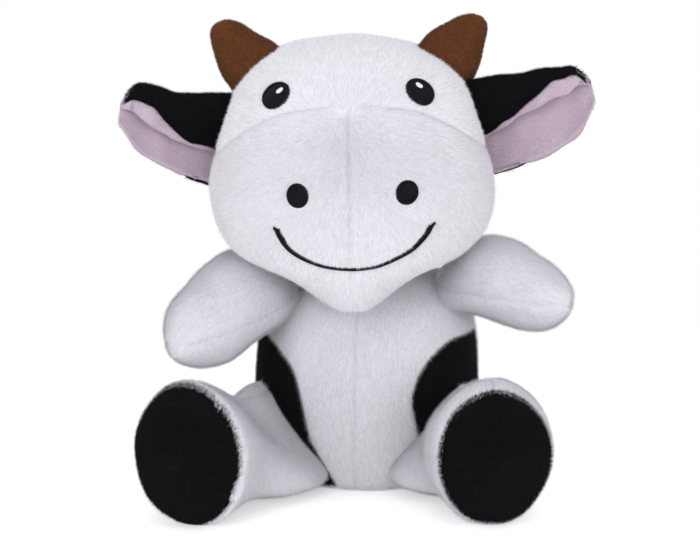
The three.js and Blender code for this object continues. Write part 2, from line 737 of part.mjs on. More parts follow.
function flared(geometry) {
  const points = geometry.attributes.position;
  const [from, to] = rootFlareShares.map((share) => share * legLength);
  for (let k = 0; k < points.count; k += 1) {
    const near = 1 - THREE.MathUtils.smoothstep(points.getZ(k), from, to);
    const low = THREE.MathUtils.clamp(-points.getY(k) / hipHeight, -1, 1);
    points.setX(k, points.getX(k) * Math.exp(rootFlare * near * low));
  }
  return geometry;
}

const legs = [['left', hipLeft, -legTurnAngleLeft], ['right', hipRight, legTurnAngleRight]];
legs.forEach(([side, place, turn]) => {
  const heading = THREE.MathUtils.degToRad(turn);
  const direction = [Math.sin(heading), -Math.cos(heading), 0];
  const leg = aimed(cow, place, direction, [0, 0, 1]);
  const outline = ringsAlong(legShares.map(([along, wide, high, middle]) => {
    const mid = middle * footHalfHeight - hipHeight - floorFlat / 2;
    const half = high * (footHalfHeight + floorFlat / 2);
    return {
      at: along * legLength,
      wide: wide * footHalfWidth,
      mid,
      fore: half - mid,
      aft: half + mid,
    };
  }), legRings);
  const axis = [Math.cos(heading), Math.sin(heading), 0];
  const clear = (solid) => clearOfBody(leg, solid, place, axis, legAngles, [[torso, torsoEnvelope]]);
  const reach = 2 * legLength;
  const floor = box([-reach, -hipHeight - overrun, -reach], [reach, -hipHeight, reach]);
  const outer = solidOf(flared(closedForm(outline, legAround))).subtract(floor);
  const inner = solidOf(flared(closedForm(drawnIn(outline, skin), legAround)));
  const fill = solidOf(flared(closedForm(drawnIn(outline, skin + fillGap), legAround)));
  const cloth = clear(outer.subtract(inner)).subtract(ball(hipRadius + seamGap, [0, 0, 0]));
  const soleLine = legLength * soleStartShare;
  const upper = cloth.subtract(box([-reach, -reach, soleLine], [reach, reach, reach]));
  const sole = cloth.intersect(box([-reach, -reach, soleLine + seamGap], [reach, reach, reach]));
  add(leg, `leg_inner_${side}`, largest(upper.intersect(leftOf(0, reach))), white);
  add(leg, `leg_outer_${side}`, largest(upper.intersect(rightOf(0, reach))), white);
  add(leg, `sole_${side}`, largest(sole), black);
  const root = ball(hipRadius, [0, 0, 0]);
  add(leg, `leg_stuffing_${side}`, largest(clear(fill).add(root)), stuffing);
});

// Tail: a thin stuffed tube sewn into the back seam, with a black tuft at its end.

const droop = THREE.MathUtils.degToRad(tailDroopAngle);
const tail = aimed(
  torso, inTorsoPlace(tailPlaceShares), [0, Math.cos(droop), -Math.sin(droop)], [0, 0, 1]);
const tailShares = [[0, 0], [0.02, 0.9], [0.2, 1], [0.5, 0.9], [0.85, 0.85], [0.98, 0.75], [1, 0]];
const tuftShares = [[0, 0], [0.03, 0.5], [0.25, 0.95], [0.5, 1], [0.78, 0.7], [0.95, 0.3], [1, 0]];
const roundRows = (shares, length, radius, from) => shares.map(([along, wide]) => ({
  at: from + along * length,
  wide: wide * radius,
  mid: 0,
  fore: wide * radius,
  aft: wide * radius,
}));
const tailStart = -tailRadius;
const tailRows = roundRows(tailShares, tailLength - tuftLength - tailStart, tailRadius, tailStart);
const tailRoot = new THREE.Vector3().setFromMatrixPosition(tail.matrixWorld).toArray();
const tailAxis = new THREE.Vector3().setFromMatrixColumn(tail.matrixWorld, 0).toArray();
const tailForm = solidOf(closedForm(ringsAlong(tailRows, smallRings + 1), smallAround));
add(tail, 'tail', largest(
  clearOfBody(tail, tailForm, tailRoot, tailAxis, tailAngles, [[torso, torsoEnvelope]])), white);
const tuftRows = roundRows(tuftShares, tuftLength, tuftRadius, tailLength - tuftLength + seamGap);
const tuftForm = closedForm(ringsAlong(tuftRows, smallRings + 1), smallAround);
add(tail, 'tail_tuft', largest(solidOf(tuftForm)), black);

export default cow;
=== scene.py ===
import math

import bpy
import numpy as np
from mathutils import Matrix, Vector, noise
from mathutils.bvhtree import BVHTree


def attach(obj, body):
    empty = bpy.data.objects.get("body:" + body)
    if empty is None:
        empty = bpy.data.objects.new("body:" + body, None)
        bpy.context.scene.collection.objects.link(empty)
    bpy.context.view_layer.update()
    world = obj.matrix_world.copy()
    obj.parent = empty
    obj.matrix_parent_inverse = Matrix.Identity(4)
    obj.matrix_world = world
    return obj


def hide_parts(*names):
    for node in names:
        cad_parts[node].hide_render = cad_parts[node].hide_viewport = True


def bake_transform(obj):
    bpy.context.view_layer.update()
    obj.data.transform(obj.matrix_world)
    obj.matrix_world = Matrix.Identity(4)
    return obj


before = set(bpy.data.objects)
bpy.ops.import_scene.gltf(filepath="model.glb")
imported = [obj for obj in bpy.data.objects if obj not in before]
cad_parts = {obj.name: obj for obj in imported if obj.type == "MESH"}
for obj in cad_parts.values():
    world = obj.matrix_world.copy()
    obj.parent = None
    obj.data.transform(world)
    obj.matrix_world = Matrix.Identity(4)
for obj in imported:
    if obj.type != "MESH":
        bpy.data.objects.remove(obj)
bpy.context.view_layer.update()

# One millimetre, in metres.
mm = 0.001


def placed(name, data):
    """An object of some data, in the scene."""
    made = bpy.data.objects.new(name, data)
    bpy.context.collection.objects.link(made)
    return made


# Camera: aimed at the toy's chest from a little above it, as in the photograph.
photo_width = 700
mm_per_pixel = 0.45
camera_distance = 1.15
camera_rise = math.radians(10)
look_at = Vector((-7.8, 0, 88.6)) * mm
camera_data = bpy.data.cameras.new("camera")
camera_data.sensor_width = 36
camera_data.lens = camera_data.sensor_width * camera_distance / (photo_width * mm_per_pixel * mm)
camera_data.clip_end = 20
camera = placed("camera", camera_data)
back_off = Vector((0, -math.cos(camera_rise), math.sin(camera_rise)))
camera.location = look_at + camera_distance * back_off
camera.rotation_euler = (math.pi / 2 - camera_rise, 0, 0)
bpy.context.scene.camera = camera


# Torso
# A pear of white plush over fibre, with a black panel in each flank and a flat seat. The panels
# are sewn right sides together, so each seam is a soft furrow that the pile half closes.

torso_size = {"wide": 50.5, "fore": 45, "aft": 45, "high": 98}
torso_turn = math.radians(-8)
floor_flat = 0.5
torso_shares = np.array([
    [0, 0, 0, 0, 0], [0.005, 0.68, 0.68, 0.7, 0], [0.035, 0.85, 0.84, 0.86, 0],
    [0.11, 0.96, 0.95, 0.96, 0], [0.25, 1, 1, 1, 0], [0.42, 0.99, 0.985, 0.98, 0],
    [0.58, 0.97, 0.93, 0.93, 0], [0.72, 0.945, 0.86, 0.86, 0], [0.83, 0.9, 0.78, 0.78, 0],
    [0.91, 0.78, 0.66, 0.66, 0], [0.965, 0.56, 0.47, 0.47, 0], [0.993, 0.25, 0.22, 0.22, 0],
    [1, 0, 0, 0, 0],
])


def curve_through(rows, count):
    """Points on a smooth curve through the rows, count + 1 of them."""
    first = 2 * rows[0] - rows[1]
    last = 2 * rows[-1] - rows[-2]
    padded = np.vstack([first, rows, last])
    t = np.linspace(0, len(rows) - 1, count + 1)
    k = np.minimum(t.astype(int), len(rows) - 2)
    u = (t - k)[:, None]
    a, b, c, d = (padded[k + step] for step in range(4))
    return 0.5 * (2 * b + (c - a) * u + (2 * a - 5 * b + 4 * c - d) * u**2
                  + (3 * b - a - 3 * c + d) * u**3)


class Form:
    """A stuffed form: a stack of rings with its points, faces and outward normals, in metres."""

    def __init__(self, rings, around, place):
        at, wide, fore, aft, mid = rings.T
        wide = np.maximum(wide, 0)
        angle = np.linspace(0, 2 * math.pi, around, endpoint=False)
        side, depth = np.cos(angle)[None, :], np.sin(angle)[None, :]
        y = np.where(depth < 0, mid[:, None] + (fore + mid)[:, None] * depth,
                     mid[:, None] + (aft - mid)[:, None] * depth)
        x = wide[:, None] * side
        z = np.repeat(at[:, None], around, axis=1)
        grid = np.stack([x, y, z], axis=2)[1:-1]
        body = grid.reshape(-1, 3)
        poles = np.array([[0, mid[0], at[0]], [0, mid[-1], at[-1]]])
        self.local = np.vstack([body, poles]) * mm
        rows = len(grid)
        k = np.arange(around)
        following = (k + 1) % around
        quads = []
        for row in range(rows - 1):
            low, high = row * around, (row + 1) * around
            quads.append(np.stack([low + k, low + following, high + following, high + k], axis=1))
        self.quads = np.vstack(quads)
        bottom, top = len(body), len(body) + 1
        last = (rows - 1) * around
        self.tris = np.vstack([
            np.stack([np.full(around, bottom), following, k], axis=1),
            np.stack([np.full(around, top), last + k, last + following], axis=1),
        ])
        self.place = place
        self.normals = self.find_normals()

    def find_normals(self):
        """Outward normals at the points."""
        p = self.local
        total = np.zeros_like(p)
        for faces, ends in ((self.quads, (0, 2, 1, 3)), (self.tris, (0, 1, 0, 2))):
            a, b, c, d = (p[faces[:, k]] for k in ends)
            across = np.cross(b - a, d - c)
            for k in range(faces.shape[1]):
                np.add.at(total, faces[:, k], across)
        return total / np.maximum(np.linalg.norm(total, axis=1, keepdims=True), 1e-12)

    def faces(self):
        """All faces, as rows of corner numbers."""
        return [tuple(f) for f in self.quads] + [tuple(f) for f in self.tris]

    def push(self, distance):
        """Moves each point along its normal by a distance in millimetres."""
        self.local = self.local + self.normals * np.asarray(distance)[:, None] * mm
        self.normals = self.find_normals()

    def world(self):
        """The points in the scene's own frame."""
        turn = np.array(self.place.to_3x3())
        return self.local @ turn.T + np.array(self.place.translation)


def middles(form):
    """The middle of each face, in millimetres and in the form's own frame."""
    p = form.local / mm
    return np.vstack([p[form.quads].mean(axis=1), p[form.tris].mean(axis=1)])


def lumps(points, size, height, seed):
    """Slow unevenness of the stuffing, in millimetres, at points in metres."""
    shift = Vector((seed * 1.7, seed * 2.3, seed * 0.9))
    return np.array([noise.noise(Vector(p) / (size * mm) + shift) * height for p in points])


def furrow(distance, depth, width):
    """The dip of a seam at a distance from it, in millimetres."""
    return -depth * np.exp(-((distance / width) ** 2))


def onto(points, outline):
    """The nearest place on a closed flat line for each flat point, and its distance."""
    best, found = np.full(len(points), 1e9), points.copy()
    for a, b in zip(outline, np.roll(outline, -1, axis=0)):
        along = b - a
        t = np.clip(((points - a) @ along) / max(along @ along, 1e-12), 0, 1)
        near = a + t[:, None] * along
        far = np.linalg.norm(points - near, axis=1)
        found = np.where((far < best)[:, None], near, found)
        best = np.minimum(best, far)
    return found, best


snap_reach = 1.6


def sewn_along(form, outline, front):
    """Moves the corners beside a seam line onto it, for the faces in front of a depth, so that
    the border of a panel runs smoothly."""
    faces = middles(form)
    inside = within(faces[:, [0, 2]], outline)
    ahead = faces[:, 1] < front
    touches = np.zeros((2, len(form.local)))
    for k, mask in enumerate((inside & ahead, ~inside & ahead)):
        quads, tris = mask[:len(form.quads)], mask[len(form.quads):]
        np.add.at(touches[k], form.quads[quads].ravel(), 1)
        np.add.at(touches[k], form.tris[tris].ravel(), 1)
    border = np.flatnonzero((touches[0] > 0) & (touches[1] > 0))
    flat = form.local[border][:, [0, 2]] / mm
    place, far = onto(flat, outline)
    step = np.where((far < snap_reach)[:, None], place - flat, 0) * mm
    n = form.normals[border]
    depth = -(n[:, 0] * step[:, 0] + n[:, 2] * step[:, 1]) / np.minimum(n[:, 1], -0.25)
    form.local[border] += np.column_stack([step[:, 0], depth, step[:, 1]])
    form.normals = form.find_normals()


def within(points, outline):
    """Which flat points lie inside a closed line."""
    inside = np.zeros(len(points), bool)
    x, y = points.T
    for a, b in zip(outline, np.roll(outline, -1, axis=0)):
        crosses = (a[1] > y) != (b[1] > y)
        rise = b[1] - a[1]
        where = a[0] + (y - a[1]) * (b[0] - a[0]) / (rise if abs(rise) > 1e-12 else 1e-12)
        inside ^= crosses & (x < where)
    return inside


def closed_curve(shares, across, up, steps=8):
    """A smooth closed outline through shares of a width and a height."""
    rows = np.array(shares, float) * [across, up]
    looped = np.vstack([rows, rows[:3]])
    return curve_through(looped, steps * (len(looped) - 1))[steps:-steps - 1]


def link(name, points, faces):
    """A smooth piece of points in metres and faces."""
    mesh = bpy.data.meshes.new(name)
    mesh.from_pydata([tuple(p) for p in points], [], [tuple(int(k) for k in f) for f in faces])
    mesh.validate()
    mesh.polygons.foreach_set("use_smooth", [True] * len(mesh.polygons))
    return placed(name, mesh)


def feed(tree, node, inputs):
    """Gives each input of a node its value, or the socket that it takes it from."""
    for name, value in inputs.items():
        if isinstance(value, bpy.types.NodeSocket):
            tree.links.new(value, node.inputs[name])
        else:
            node.inputs[name].default_value = value


def add(tree, kind, inputs=None, **settings):
    """A new node of a tree, with its settings and inputs."""
    node = tree.nodes.new(kind)
    for name, value in settings.items():
        setattr(node, name, value)
    feed(tree, node, inputs or {})
    return node


def finish(name, colour, other, grain, roughness, sheen=0.0, bump=0.0, bump_scale=0):
    """Cloth whose colour drifts a little, with a fine raised grain."""
    material = bpy.data.materials.new(name)
    material.use_nodes = True
    tree = material.node_tree
    where = add(tree, "ShaderNodeTexCoord").outputs["Object"]
    drift = add(tree, "ShaderNodeTexNoise", {"Scale": grain, "Detail": 3, "Vector": where})
    mixed = add(tree, "ShaderNodeMix", {"A": (*colour, 1), "B": (*other, 1),
                                        "Factor": drift.outputs["Fac"]}, data_type="RGBA")
    shader = tree.nodes["Principled BSDF"]
    feed(tree, shader, {
        "Roughness": roughness, "Sheen Weight": sheen, "Sheen Roughness": 0.5,
        "Specular IOR Level": 0.1, "Base Color": mixed.outputs["Result"],
    })
    if bump:
        fine = add(tree, "ShaderNodeTexNoise", {"Scale": bump_scale, "Detail": 4, "Vector": where})
        raised = add(tree, "ShaderNodeBump", {
            "Strength": bump, "Distance": 0.4 * mm, "Height": fine.outputs["Fac"]})
        feed(tree, shader, {"Normal": raised.outputs["Normal"]})
    return material


def by_strand(material, least, most):
    """Darkens and lightens the colour of a pile from one strand to the next."""
    tree = material.node_tree
    shader = tree.nodes["Principled BSDF"]
    dyed = shader.inputs["Base Color"].links[0].from_socket
    strand = add(tree, "ShaderNodeAttribute", attribute_name="shade")
    level = add(tree, "ShaderNodeMapRange", {
        "To Min": least, "To Max": most, "Value": strand.outputs["Fac"]})
    scaled = add(tree, "ShaderNodeVectorMath", {0: dyed, "Scale": level.outputs["Result"]},
                 operation="SCALE")
    feed(tree, shader, {"Base Color": scaled.outputs["Vector"]})
    return material


white_cloth = finish("white cloth", (0.74, 0.725, 0.77), (0.80, 0.785, 0.83), 90, 0.95, 0.1,
                     bump=0.5, bump_scale=1500)
white_pile = by_strand(
    finish("white pile", (0.80, 0.785, 0.83), (0.86, 0.845, 0.89), 220, 0.95, 0.1), 0.78, 1.08)
black_cloth = finish("black cloth", (0.0035, 0.0035, 0.004), (0.005, 0.005, 0.006), 90, 1.0,
                     bump=0.3, bump_scale=1500)
black_pile = by_strand(
    finish("black pile", (0.003, 0.003, 0.0035), (0.006, 0.006, 0.007), 220, 0.9), 0.4, 1.8)
white_plush = ("white_plush", white_cloth, white_pile)
black_plush = ("black_plush", black_cloth, black_pile)
plush_backing = 1.6


def sew_panel(name, form, mask, thickness, material, nap):
    """One panel of cloth with its own thickness, cut from a form. It carries the lay of its pile,
    which grows on the outer side alone."""
    points = form.world()
    turn = np.array(form.place.to_3x3())
    outward = form.normals @ turn.T
    kept = [f for f, keep in zip(form.faces(), mask) if keep]
    used = sorted({k for f in kept for k in f})
    index = {old: new for new, old in enumerate(used)}
    outer = points[used]
    inner = outer - outward[used] * thickness * mm
    count = len(used)
    faces = [tuple(index[k] for k in f) for f in kept]
    edges = {}
    for f in faces:
        for a, b in zip(f, f[1:] + f[:1]):
            edges[(a, b)] = True
    rim = [(a, b) for a, b in edges if (b, a) not in edges]
    below = [tuple(count + k for k in reversed(f)) for f in faces]
    walls = [(b, a, count + a, count + b) for a, b in rim]
    piece = link(name, np.vstack([outer, inner]), faces + below + walls)
    mesh = piece.data
    mesh.materials.append(material)
    lay = mesh.attributes.new("nap", "FLOAT_VECTOR", "POINT")
    flow = nap(outer, outward[used])
    lay.data.foreach_set("vector", np.vstack([flow, flow]).astype(np.float32).ravel())
    grows = np.zeros(len(mesh.polygons), np.float32)
    grows[:len(faces)] = 1
    mesh.attributes.new("grows", "FLOAT", "FACE").data.foreach_set("value", grows)
    return piece


def along_surface(direction, outward):
    """A direction laid down on the surface at each point."""
    flat = direction - outward * np.sum(direction * outward, axis=1, keepdims=True)
    return flat / np.maximum(np.linalg.norm(flat, axis=1, keepdims=True), 1e-9)


def brushed(direction):
    """A nap that lies one way all over a panel."""
    def nap(points, outward):
        return along_surface(np.tile(np.array(direction, float), (len(points), 1)), outward)
    return nap


def geometry_tree(name, takes, inputs, gives):
    """A geometry tree with its named inputs, as the tree, those inputs and its last node."""
    tree = bpy.data.node_groups.new(name, "GeometryNodeTree")
    sockets = [(takes, "Geometry", "INPUT")]
    sockets += [(label, kind, "INPUT") for kind, labels in inputs.items() for label in labels]
    for label, kind, side in sockets + [(gives, "Geometry", "OUTPUT")]:
        tree.interface.new_socket(label, in_out=side, socket_type=f"NodeSocket{kind}")
    return tree, add(tree, "NodeGroupInput").outputs, add(tree, "NodeGroupOutput")


def pile_tree():
    """Stands a tapering tuft on each of many points of a cloth, laid over along its nap."""
    tree, given, result = geometry_tree("pile", "Cloth", {
        "Float": ("Density", "Length", "Width", "Lean", "Scatter", "Clearance", "Trim"),
        "Object": ("Clear of",), "Int": ("Seed",), "Material": ("Finish",),
    }, "Pile")

    def named(name, kind):
        node = add(tree, "GeometryNodeInputNamedAttribute", {"Name": name}, data_type=kind)
        return node.outputs["Attribute"]

    def maths(operation, a, b):
        return add(tree, "ShaderNodeMath", {0: a, 1: b}, operation=operation).outputs[0]

    def vector(operation, inputs):
        return add(tree, "ShaderNodeVectorMath", inputs, operation=operation).outputs[0]

    def chance(kind, low, high, shift):
        first, output = {"FLOAT": (2, 1), "FLOAT_VECTOR": (0, 0)}[kind]
        node = add(tree, "FunctionNodeRandomValue", {first: low, first + 1: high, "Seed": shift},
                   data_type=kind)
        return node.outputs[output]

    # Points on the outer side, none of them on the stitches and shorter beside those.
    scatter = add(tree, "GeometryNodeDistributePointsOnFaces", {
        "Mesh": given["Cloth"], "Seed": given["Seed"],
        "Density": maths("MULTIPLY", given["Density"], named("grows", "FLOAT"))})
    outward = scatter.outputs["Normal"]
    sewn_over = add(tree, "GeometryNodeObjectInfo", {"Object": given["Clear of"]})
    near = add(tree, "GeometryNodeProximity", {0: sewn_over.outputs["Geometry"]},
               target_element="EDGES").outputs["Distance"]
    thin = add(tree, "GeometryNodeDeleteGeometry", {
        "Geometry": scatter.outputs["Points"],
        "Selection": maths("LESS_THAN", near, given["Clearance"])}, domain="POINT")
    shorter = add(tree, "ShaderNodeMapRange", {
        "Value": near, "From Min": 0.4 * mm, "From Max": 3.5 * mm, "To Min": 0.7, "To Max": 0})
    keep_length = add(tree, "GeometryNodeCaptureAttribute", domain="POINT")
    keep_length.capture_items.new("FLOAT", "Left long")
    trimmed = maths("MULTIPLY", given["Trim"], shorter.outputs["Result"])
    feed(tree, keep_length, {
        "Geometry": thin.outputs["Geometry"], "Left long": maths("SUBTRACT", 1.0, trimmed)})

    # Each tuft leans over along the nap and turns its flat side outwards.
    upright = maths("SUBTRACT", 1.0, given["Lean"])
    lean = vector("ADD", {
        0: vector("SCALE", {0: outward, "Scale": upright}),
        1: vector("SCALE", {0: named("nap", "FLOAT_VECTOR"), "Scale": given["Lean"]})})
    stray = vector("SCALE", {0: chance("FLOAT_VECTOR", (-1, -1, -1), (1, 1, 1), 11),
                             "Scale": given["Scatter"]})
    direction = vector("NORMALIZE", {0: vector("ADD", {0: lean, 1: stray})})
    turned = add(tree, "FunctionNodeAlignRotationToVector", {"Vector": direction}, axis="Z")
    rolled = add(tree, "FunctionNodeAlignRotationToVector", {
        "Rotation": turned.outputs["Rotation"], "Vector": outward}, axis="Y", pivot_axis="Z")

    # The tuft is a triangle of unit height that stands on the middle of its base.
    three = add(tree, "GeometryNodeMeshCircle", {"Vertices": 3, "Radius": 1}, fill_type="NGON")
    tuft = add(tree, "GeometryNodeTransform", {
        "Geometry": three.outputs["Mesh"], "Scale": (1 / 1.5, 1 / math.sin(math.pi / 3), 1),
        "Rotation": (-math.pi / 2, -math.pi / 2, 0), "Translation": (0, 0, 1 / 3)})
    left_long = keep_length.outputs["Left long"]
    tall = maths("MULTIPLY", given["Length"],
                 maths("MULTIPLY", chance("FLOAT", 0.55, 1.2, 12), left_long))
    size = add(tree, "ShaderNodeCombineXYZ", {"X": given["Width"], "Y": 1, "Z": tall})
    tinted = add(tree, "GeometryNodeStoreNamedAttribute", {
        "Name": "shade", "Geometry": keep_length.outputs["Geometry"],
        "Value": chance("FLOAT", 0.0, 1.0, 14)}, data_type="FLOAT", domain="POINT")
    stand = add(tree, "GeometryNodeInstanceOnPoints", {
        "Points": tinted.outputs["Geometry"], "Instance": tuft.outputs["Geometry"],
        "Rotation": rolled.outputs["Rotation"], "Scale": size.outputs["Vector"]})
    real = add(tree, "GeometryNodeRealizeInstances", {"Geometry": stand.outputs["Instances"]})

    # Each strand's corners carry a flat map of where it stands, as seen from the front.
    share_per_metre = 3.5
    place = add(tree, "GeometryNodeInputPosition")
    apart = add(tree, "ShaderNodeSeparateXYZ", {"Vector": place.outputs["Position"]}).outputs
    flat = add(tree, "ShaderNodeCombineXYZ", {
        "X": maths("ADD", maths("MULTIPLY", apart["X"], share_per_metre), 0.5),
        "Y": maths("ADD", maths("MULTIPLY", apart["Z"], share_per_metre), 0.1)})
    laid = add(tree, "GeometryNodeStoreNamedAttribute", {
        "Name": "OFBake", "Geometry": real.outputs["Geometry"], "Value": flat.outputs["Vector"],
    }, data_type="FLOAT2", domain="CORNER")
    dyed = add(tree, "GeometryNodeSetMaterial", {
        "Geometry": laid.outputs["Geometry"], "Material": given["Finish"]})
    feed(tree, result, {"Pile": dyed.outputs["Geometry"]})
    return tree


pile = pile_tree()


def evaluated(piece, name):
    """A plain mesh of a piece with its modifiers, as an object of its own."""
    bpy.context.view_layer.update()
    graph = bpy.context.evaluated_depsgraph_get()
    mesh = bpy.data.meshes.new_from_object(piece.evaluated_get(graph), depsgraph=graph)
    mesh.name = name
    return placed(name, mesh)


def set_inputs(modifier, tree, values):
    """Gives the inputs of a modifier's tree their values, by name."""
    for item in tree.interface.items_tree:
        if item.item_type == "SOCKET" and item.in_out == "INPUT" and item.name in values:
            modifier[item.identifier] = values[item.name]


def grow(cloth, name, material, seed, density=11.0, length=2.9, width=0.13, lean=0.68, scatter=0.24,
         clear_of=None, clearance=0.0):
    """Pile for one cloth. Density is in tufts to the square millimetre, sizes in millimetres."""
    modifier = cloth.modifiers.new("pile", "NODES")
    modifier.node_group = pile
    set_inputs(modifier, pile, {
        "Density": density * 1e6, "Length": length * mm, "Width": width * mm, "Lean": lean,
        "Scatter": scatter, "Seed": seed, "Finish": material, "Clear of": clear_of,
        "Clearance": clearance * mm, "Trim": 0.6 if clear_of else 0.0,
    })
    tufts = evaluated(cloth, name)
    tufts.visible_shadow = False
    corners = np.empty(3 * len(tufts.data.vertices), np.float32)
    tufts.data.vertices.foreach_get("co", corners)
    corners[2::3] = np.maximum(corners[2::3], 0.05 * mm)
    tufts.data.vertices.foreach_set("co", corners)
    cloth.modifiers.remove(modifier)
    return tufts


def panel(node, form, mask, plush, nap, seed, body, joint=None, backing=plush_backing, fill=0.85,
          **pile_sizes):
    """One sewn panel with its pile, in place of the part they stand for. Without a joint they
    move with their body; with one they are left in the scene's own frame.
    """
    slot, cloth, fibre = plush
    sewn = sew_panel(f"{node}_cloth", form, mask, backing, cloth, nap)
    tufts = grow(sewn, f"{node}_pile", fibre, seed, **pile_sizes)
    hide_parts(node)
    for piece in (sewn, tufts):
        if joint:
            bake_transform(piece)
        else:
            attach(piece, body)


def rings_of(shares, size, count, start=0.0):
    """Rings in millimetres from shares of a form's height, half width, fore, aft and middle."""
    rows = shares * [size[way] for way in ("high", "wide", "fore", "aft", "fore")]
    rows[:, 0] += start
    return curve_through(rows, count)


torso_place = Matrix.Rotation(torso_turn, 4, "Z")
torso_rings = rings_of(torso_shares, {**torso_size, "high": torso_size["high"] + floor_flat},
                       100, -floor_flat)
torso = Form(torso_rings, 168, torso_place)
flank_left = closed_curve([
    [-1.3, 0.72], [-0.92, 0.7], [-0.78, 0.665], [-0.65, 0.611], [-0.553, 0.552], [-0.48, 0.438],
    [-0.392, 0.262], [-0.242, 0.123], [-0.17, 0], [-0.25, -0.1], [-0.8, -0.1], [-1.3, 0.1],
], torso_size["wide"], torso_size["high"])
flank_right = closed_curve([
    [1.3, 0.72], [0.93, 0.7], [0.8, 0.69], [0.66, 0.635], [0.553, 0.56], [0.5, 0.48],
    [0.495, 0.42], [0.53, 0.33], [0.58, 0.23], [0.68, 0.14], [0.9, 0.08], [1.3, 0.08],
], torso_size["wide"], torso_size["high"])

# Each seam is a furrow of some depth and width, in millimetres.
middle_seam, side_seam, patch_seam = (0.3, 1.8), (0.6, 1.6), (0.45, 1.3)
torso_mm = torso.local / mm
front = torso_mm[:, 1] < 0
seam_dips = (furrow(np.abs(torso_mm[:, 0]), *middle_seam)
             + furrow(np.abs(torso_mm[:, 1]), *side_seam))
for outline in (flank_left, flank_right):
    seam_dips += np.where(front, furrow(onto(torso_mm[:, [0, 2]], outline)[1], *patch_seam), 0)
torso.push(seam_dips + lumps(torso.local, 22, 1.3, 1))
for outline in (flank_left, flank_right):
    sewn_along(torso, outline, 0)
torso.local[:, 2] = np.maximum(torso.local[:, 2], 0)
torso_faces = middles(torso)
seat_edge = 3.4
seat = torso_faces[:, 2] < seat_edge
ahead = (torso_faces[:, 1] < 0) & ~seat
left = torso_faces[:, 0] < 0
in_left = within(torso_faces[:, [0, 2]], flank_left) & ahead
in_right = within(torso_faces[:, [0, 2]], flank_right) & ahead
belly = ahead & ~in_left & ~in_right
behind = ~ahead & ~seat
downward = brushed((0, -0.1, -1))
torso_panels = [
    ("belly_left", belly & left, white_plush), ("belly_right", belly & ~left, white_plush),
    ("flank_patch_left", in_left, black_plush), ("flank_patch_right", in_right, black_plush),
    ("back_left", behind & left, white_plush), ("back_right", behind & ~left, white_plush),
    ("seat_panel", seat, white_plush),
]
for seed, (node, mask, plush) in enumerate(torso_panels):
    panel(node, torso, mask, plush, downward, 10 + seed, "torso",
          density=5 if node == "seat_panel" else 11)


class Surface:
    """The outside of a form, to find places on it and to tell what lies within it."""

    def __init__(self, form):
        points = [Vector(p) for p in form.local]
        faces = [tuple(int(k) for k in f) for f in form.quads]
        self.tree = BVHTree.FromPolygons(points, faces)
        self.place = form.place

    def at(self, x, z, rise=0.0):
        """The point seen at x and z from the front, lifted off the surface, in metres."""
        well_in_front = -0.2
        start = Vector((x * mm, well_in_front, z * mm))
        found, normal, _, _ = self.tree.ray_cast(start, Vector((0, 1, 0)))
        return self.place @ (found + normal * rise * mm)

    def clears(self, form, depth):
        """Which faces of another form lie outside, or less than a depth within, in millimetres."""
        carry = self.place.inverted() @ form.place
        found = []
        for p in middles(form):
            own = carry @ (Vector(p) * mm)
            near, normal, _, _ = self.tree.find_nearest(own)
            found.append((own - near).dot(normal) > -depth * mm)
        return np.array(found)


torso_surface = Surface(torso)


# Legs
# Two short white limbs that splay forward over the floor, sewn from an inner and an outer panel
# with a seam along the top, and closed by a round black sole.

leg_length = 84.5
hip_height = 24
foot_half = {"wide": 25.5, "high": 30.5}
leg_shares = np.array([
    [-0.06, 0, 0, 0.78], [0.04, 0.66, 0.66, 0.78], [0.16, 0.78, 0.73, 0.78],
    [0.36, 0.86, 0.71, 0.79], [0.56, 0.94, 0.7, 0.84], [0.76, 1, 0.88, 0.96], [0.9, 1.01, 1, 1],
    [0.95, 0.985, 0.985, 1], [0.985, 0.94, 0.94, 0.985], [1.002, 0.88, 0.88, 0.975],
    [1.012, 0.55, 0.55, 0.975], [1.015, 0, 0, 0.975],
])
sole_start = 0.985 * leg_length
sole_pile = 0.8 * 2.8
limb_seam, sole_seam = (0.5, 1.3), (0.8, 1.4)
hip_bend = 14


def aimed(place, direction, upward):
    """A frame whose Z runs along a limb and whose Y leans towards a given upward."""
    z = Vector(direction).normalized()
    x = Vector(upward).cross(z).normalized()
    y = z.cross(x)
    turn = Matrix((x, y, z)).transposed().to_4x4()
    return Matrix.Translation(Vector(place) * mm) @ turn


root_flare, flare_from, flare_to = 1.1, 0.3, 0.8


def eased(share):
    """A share kept within 0 and 1 that starts and ends slowly."""
    t = np.clip(share, 0, 1)
    return t * t * (3 - 2 * t)


def flared(form):
    """Spreads a leg on the floor where it leaves the torso."""
    along = form.local[:, 2] / (leg_length * mm)
    near = 1 - eased((along - flare_from) / (flare_to - flare_from))
    low = np.clip(-form.local[:, 1] / (hip_height * mm), -1, 1)
    form.local[:, 0] *= np.exp(root_flare * near * low)
    form.normals = form.find_normals()
    return form


def settled(form, foot_shift, spread, sole_shape):
    """Gives a sole its own width and height, and carries the foot a little to one side and the
    top of the leg's root another way."""
    t = np.clip(form.local[:, 2] / (leg_length * mm), 0, 1)
    sole_wide, sole_high, aside = sole_shape
    end = eased((t - 0.9) / 0.085)
    form.local[:, 0] = form.local[:, 0] * (1 - (1 - sole_wide) * end) + aside * mm * end
    form.local[:, 1] *= 1 - (1 - sole_high) * end
    out = eased((t - 0.2) / 0.7)[:, None]
    turn = np.array(form.place.to_3x3())
    form.local = form.local + out * (np.array(foot_shift) * mm @ turn)
    near = eased((0.6 - t) / 0.5)
    above = np.clip((form.local[:, 1] / mm + 14) / 34, 0, 1)
    form.local = form.local + (near * above)[:, None] * (np.array((spread, 0, 0)) * mm @ turn)
    form.normals = form.find_normals()
    return form


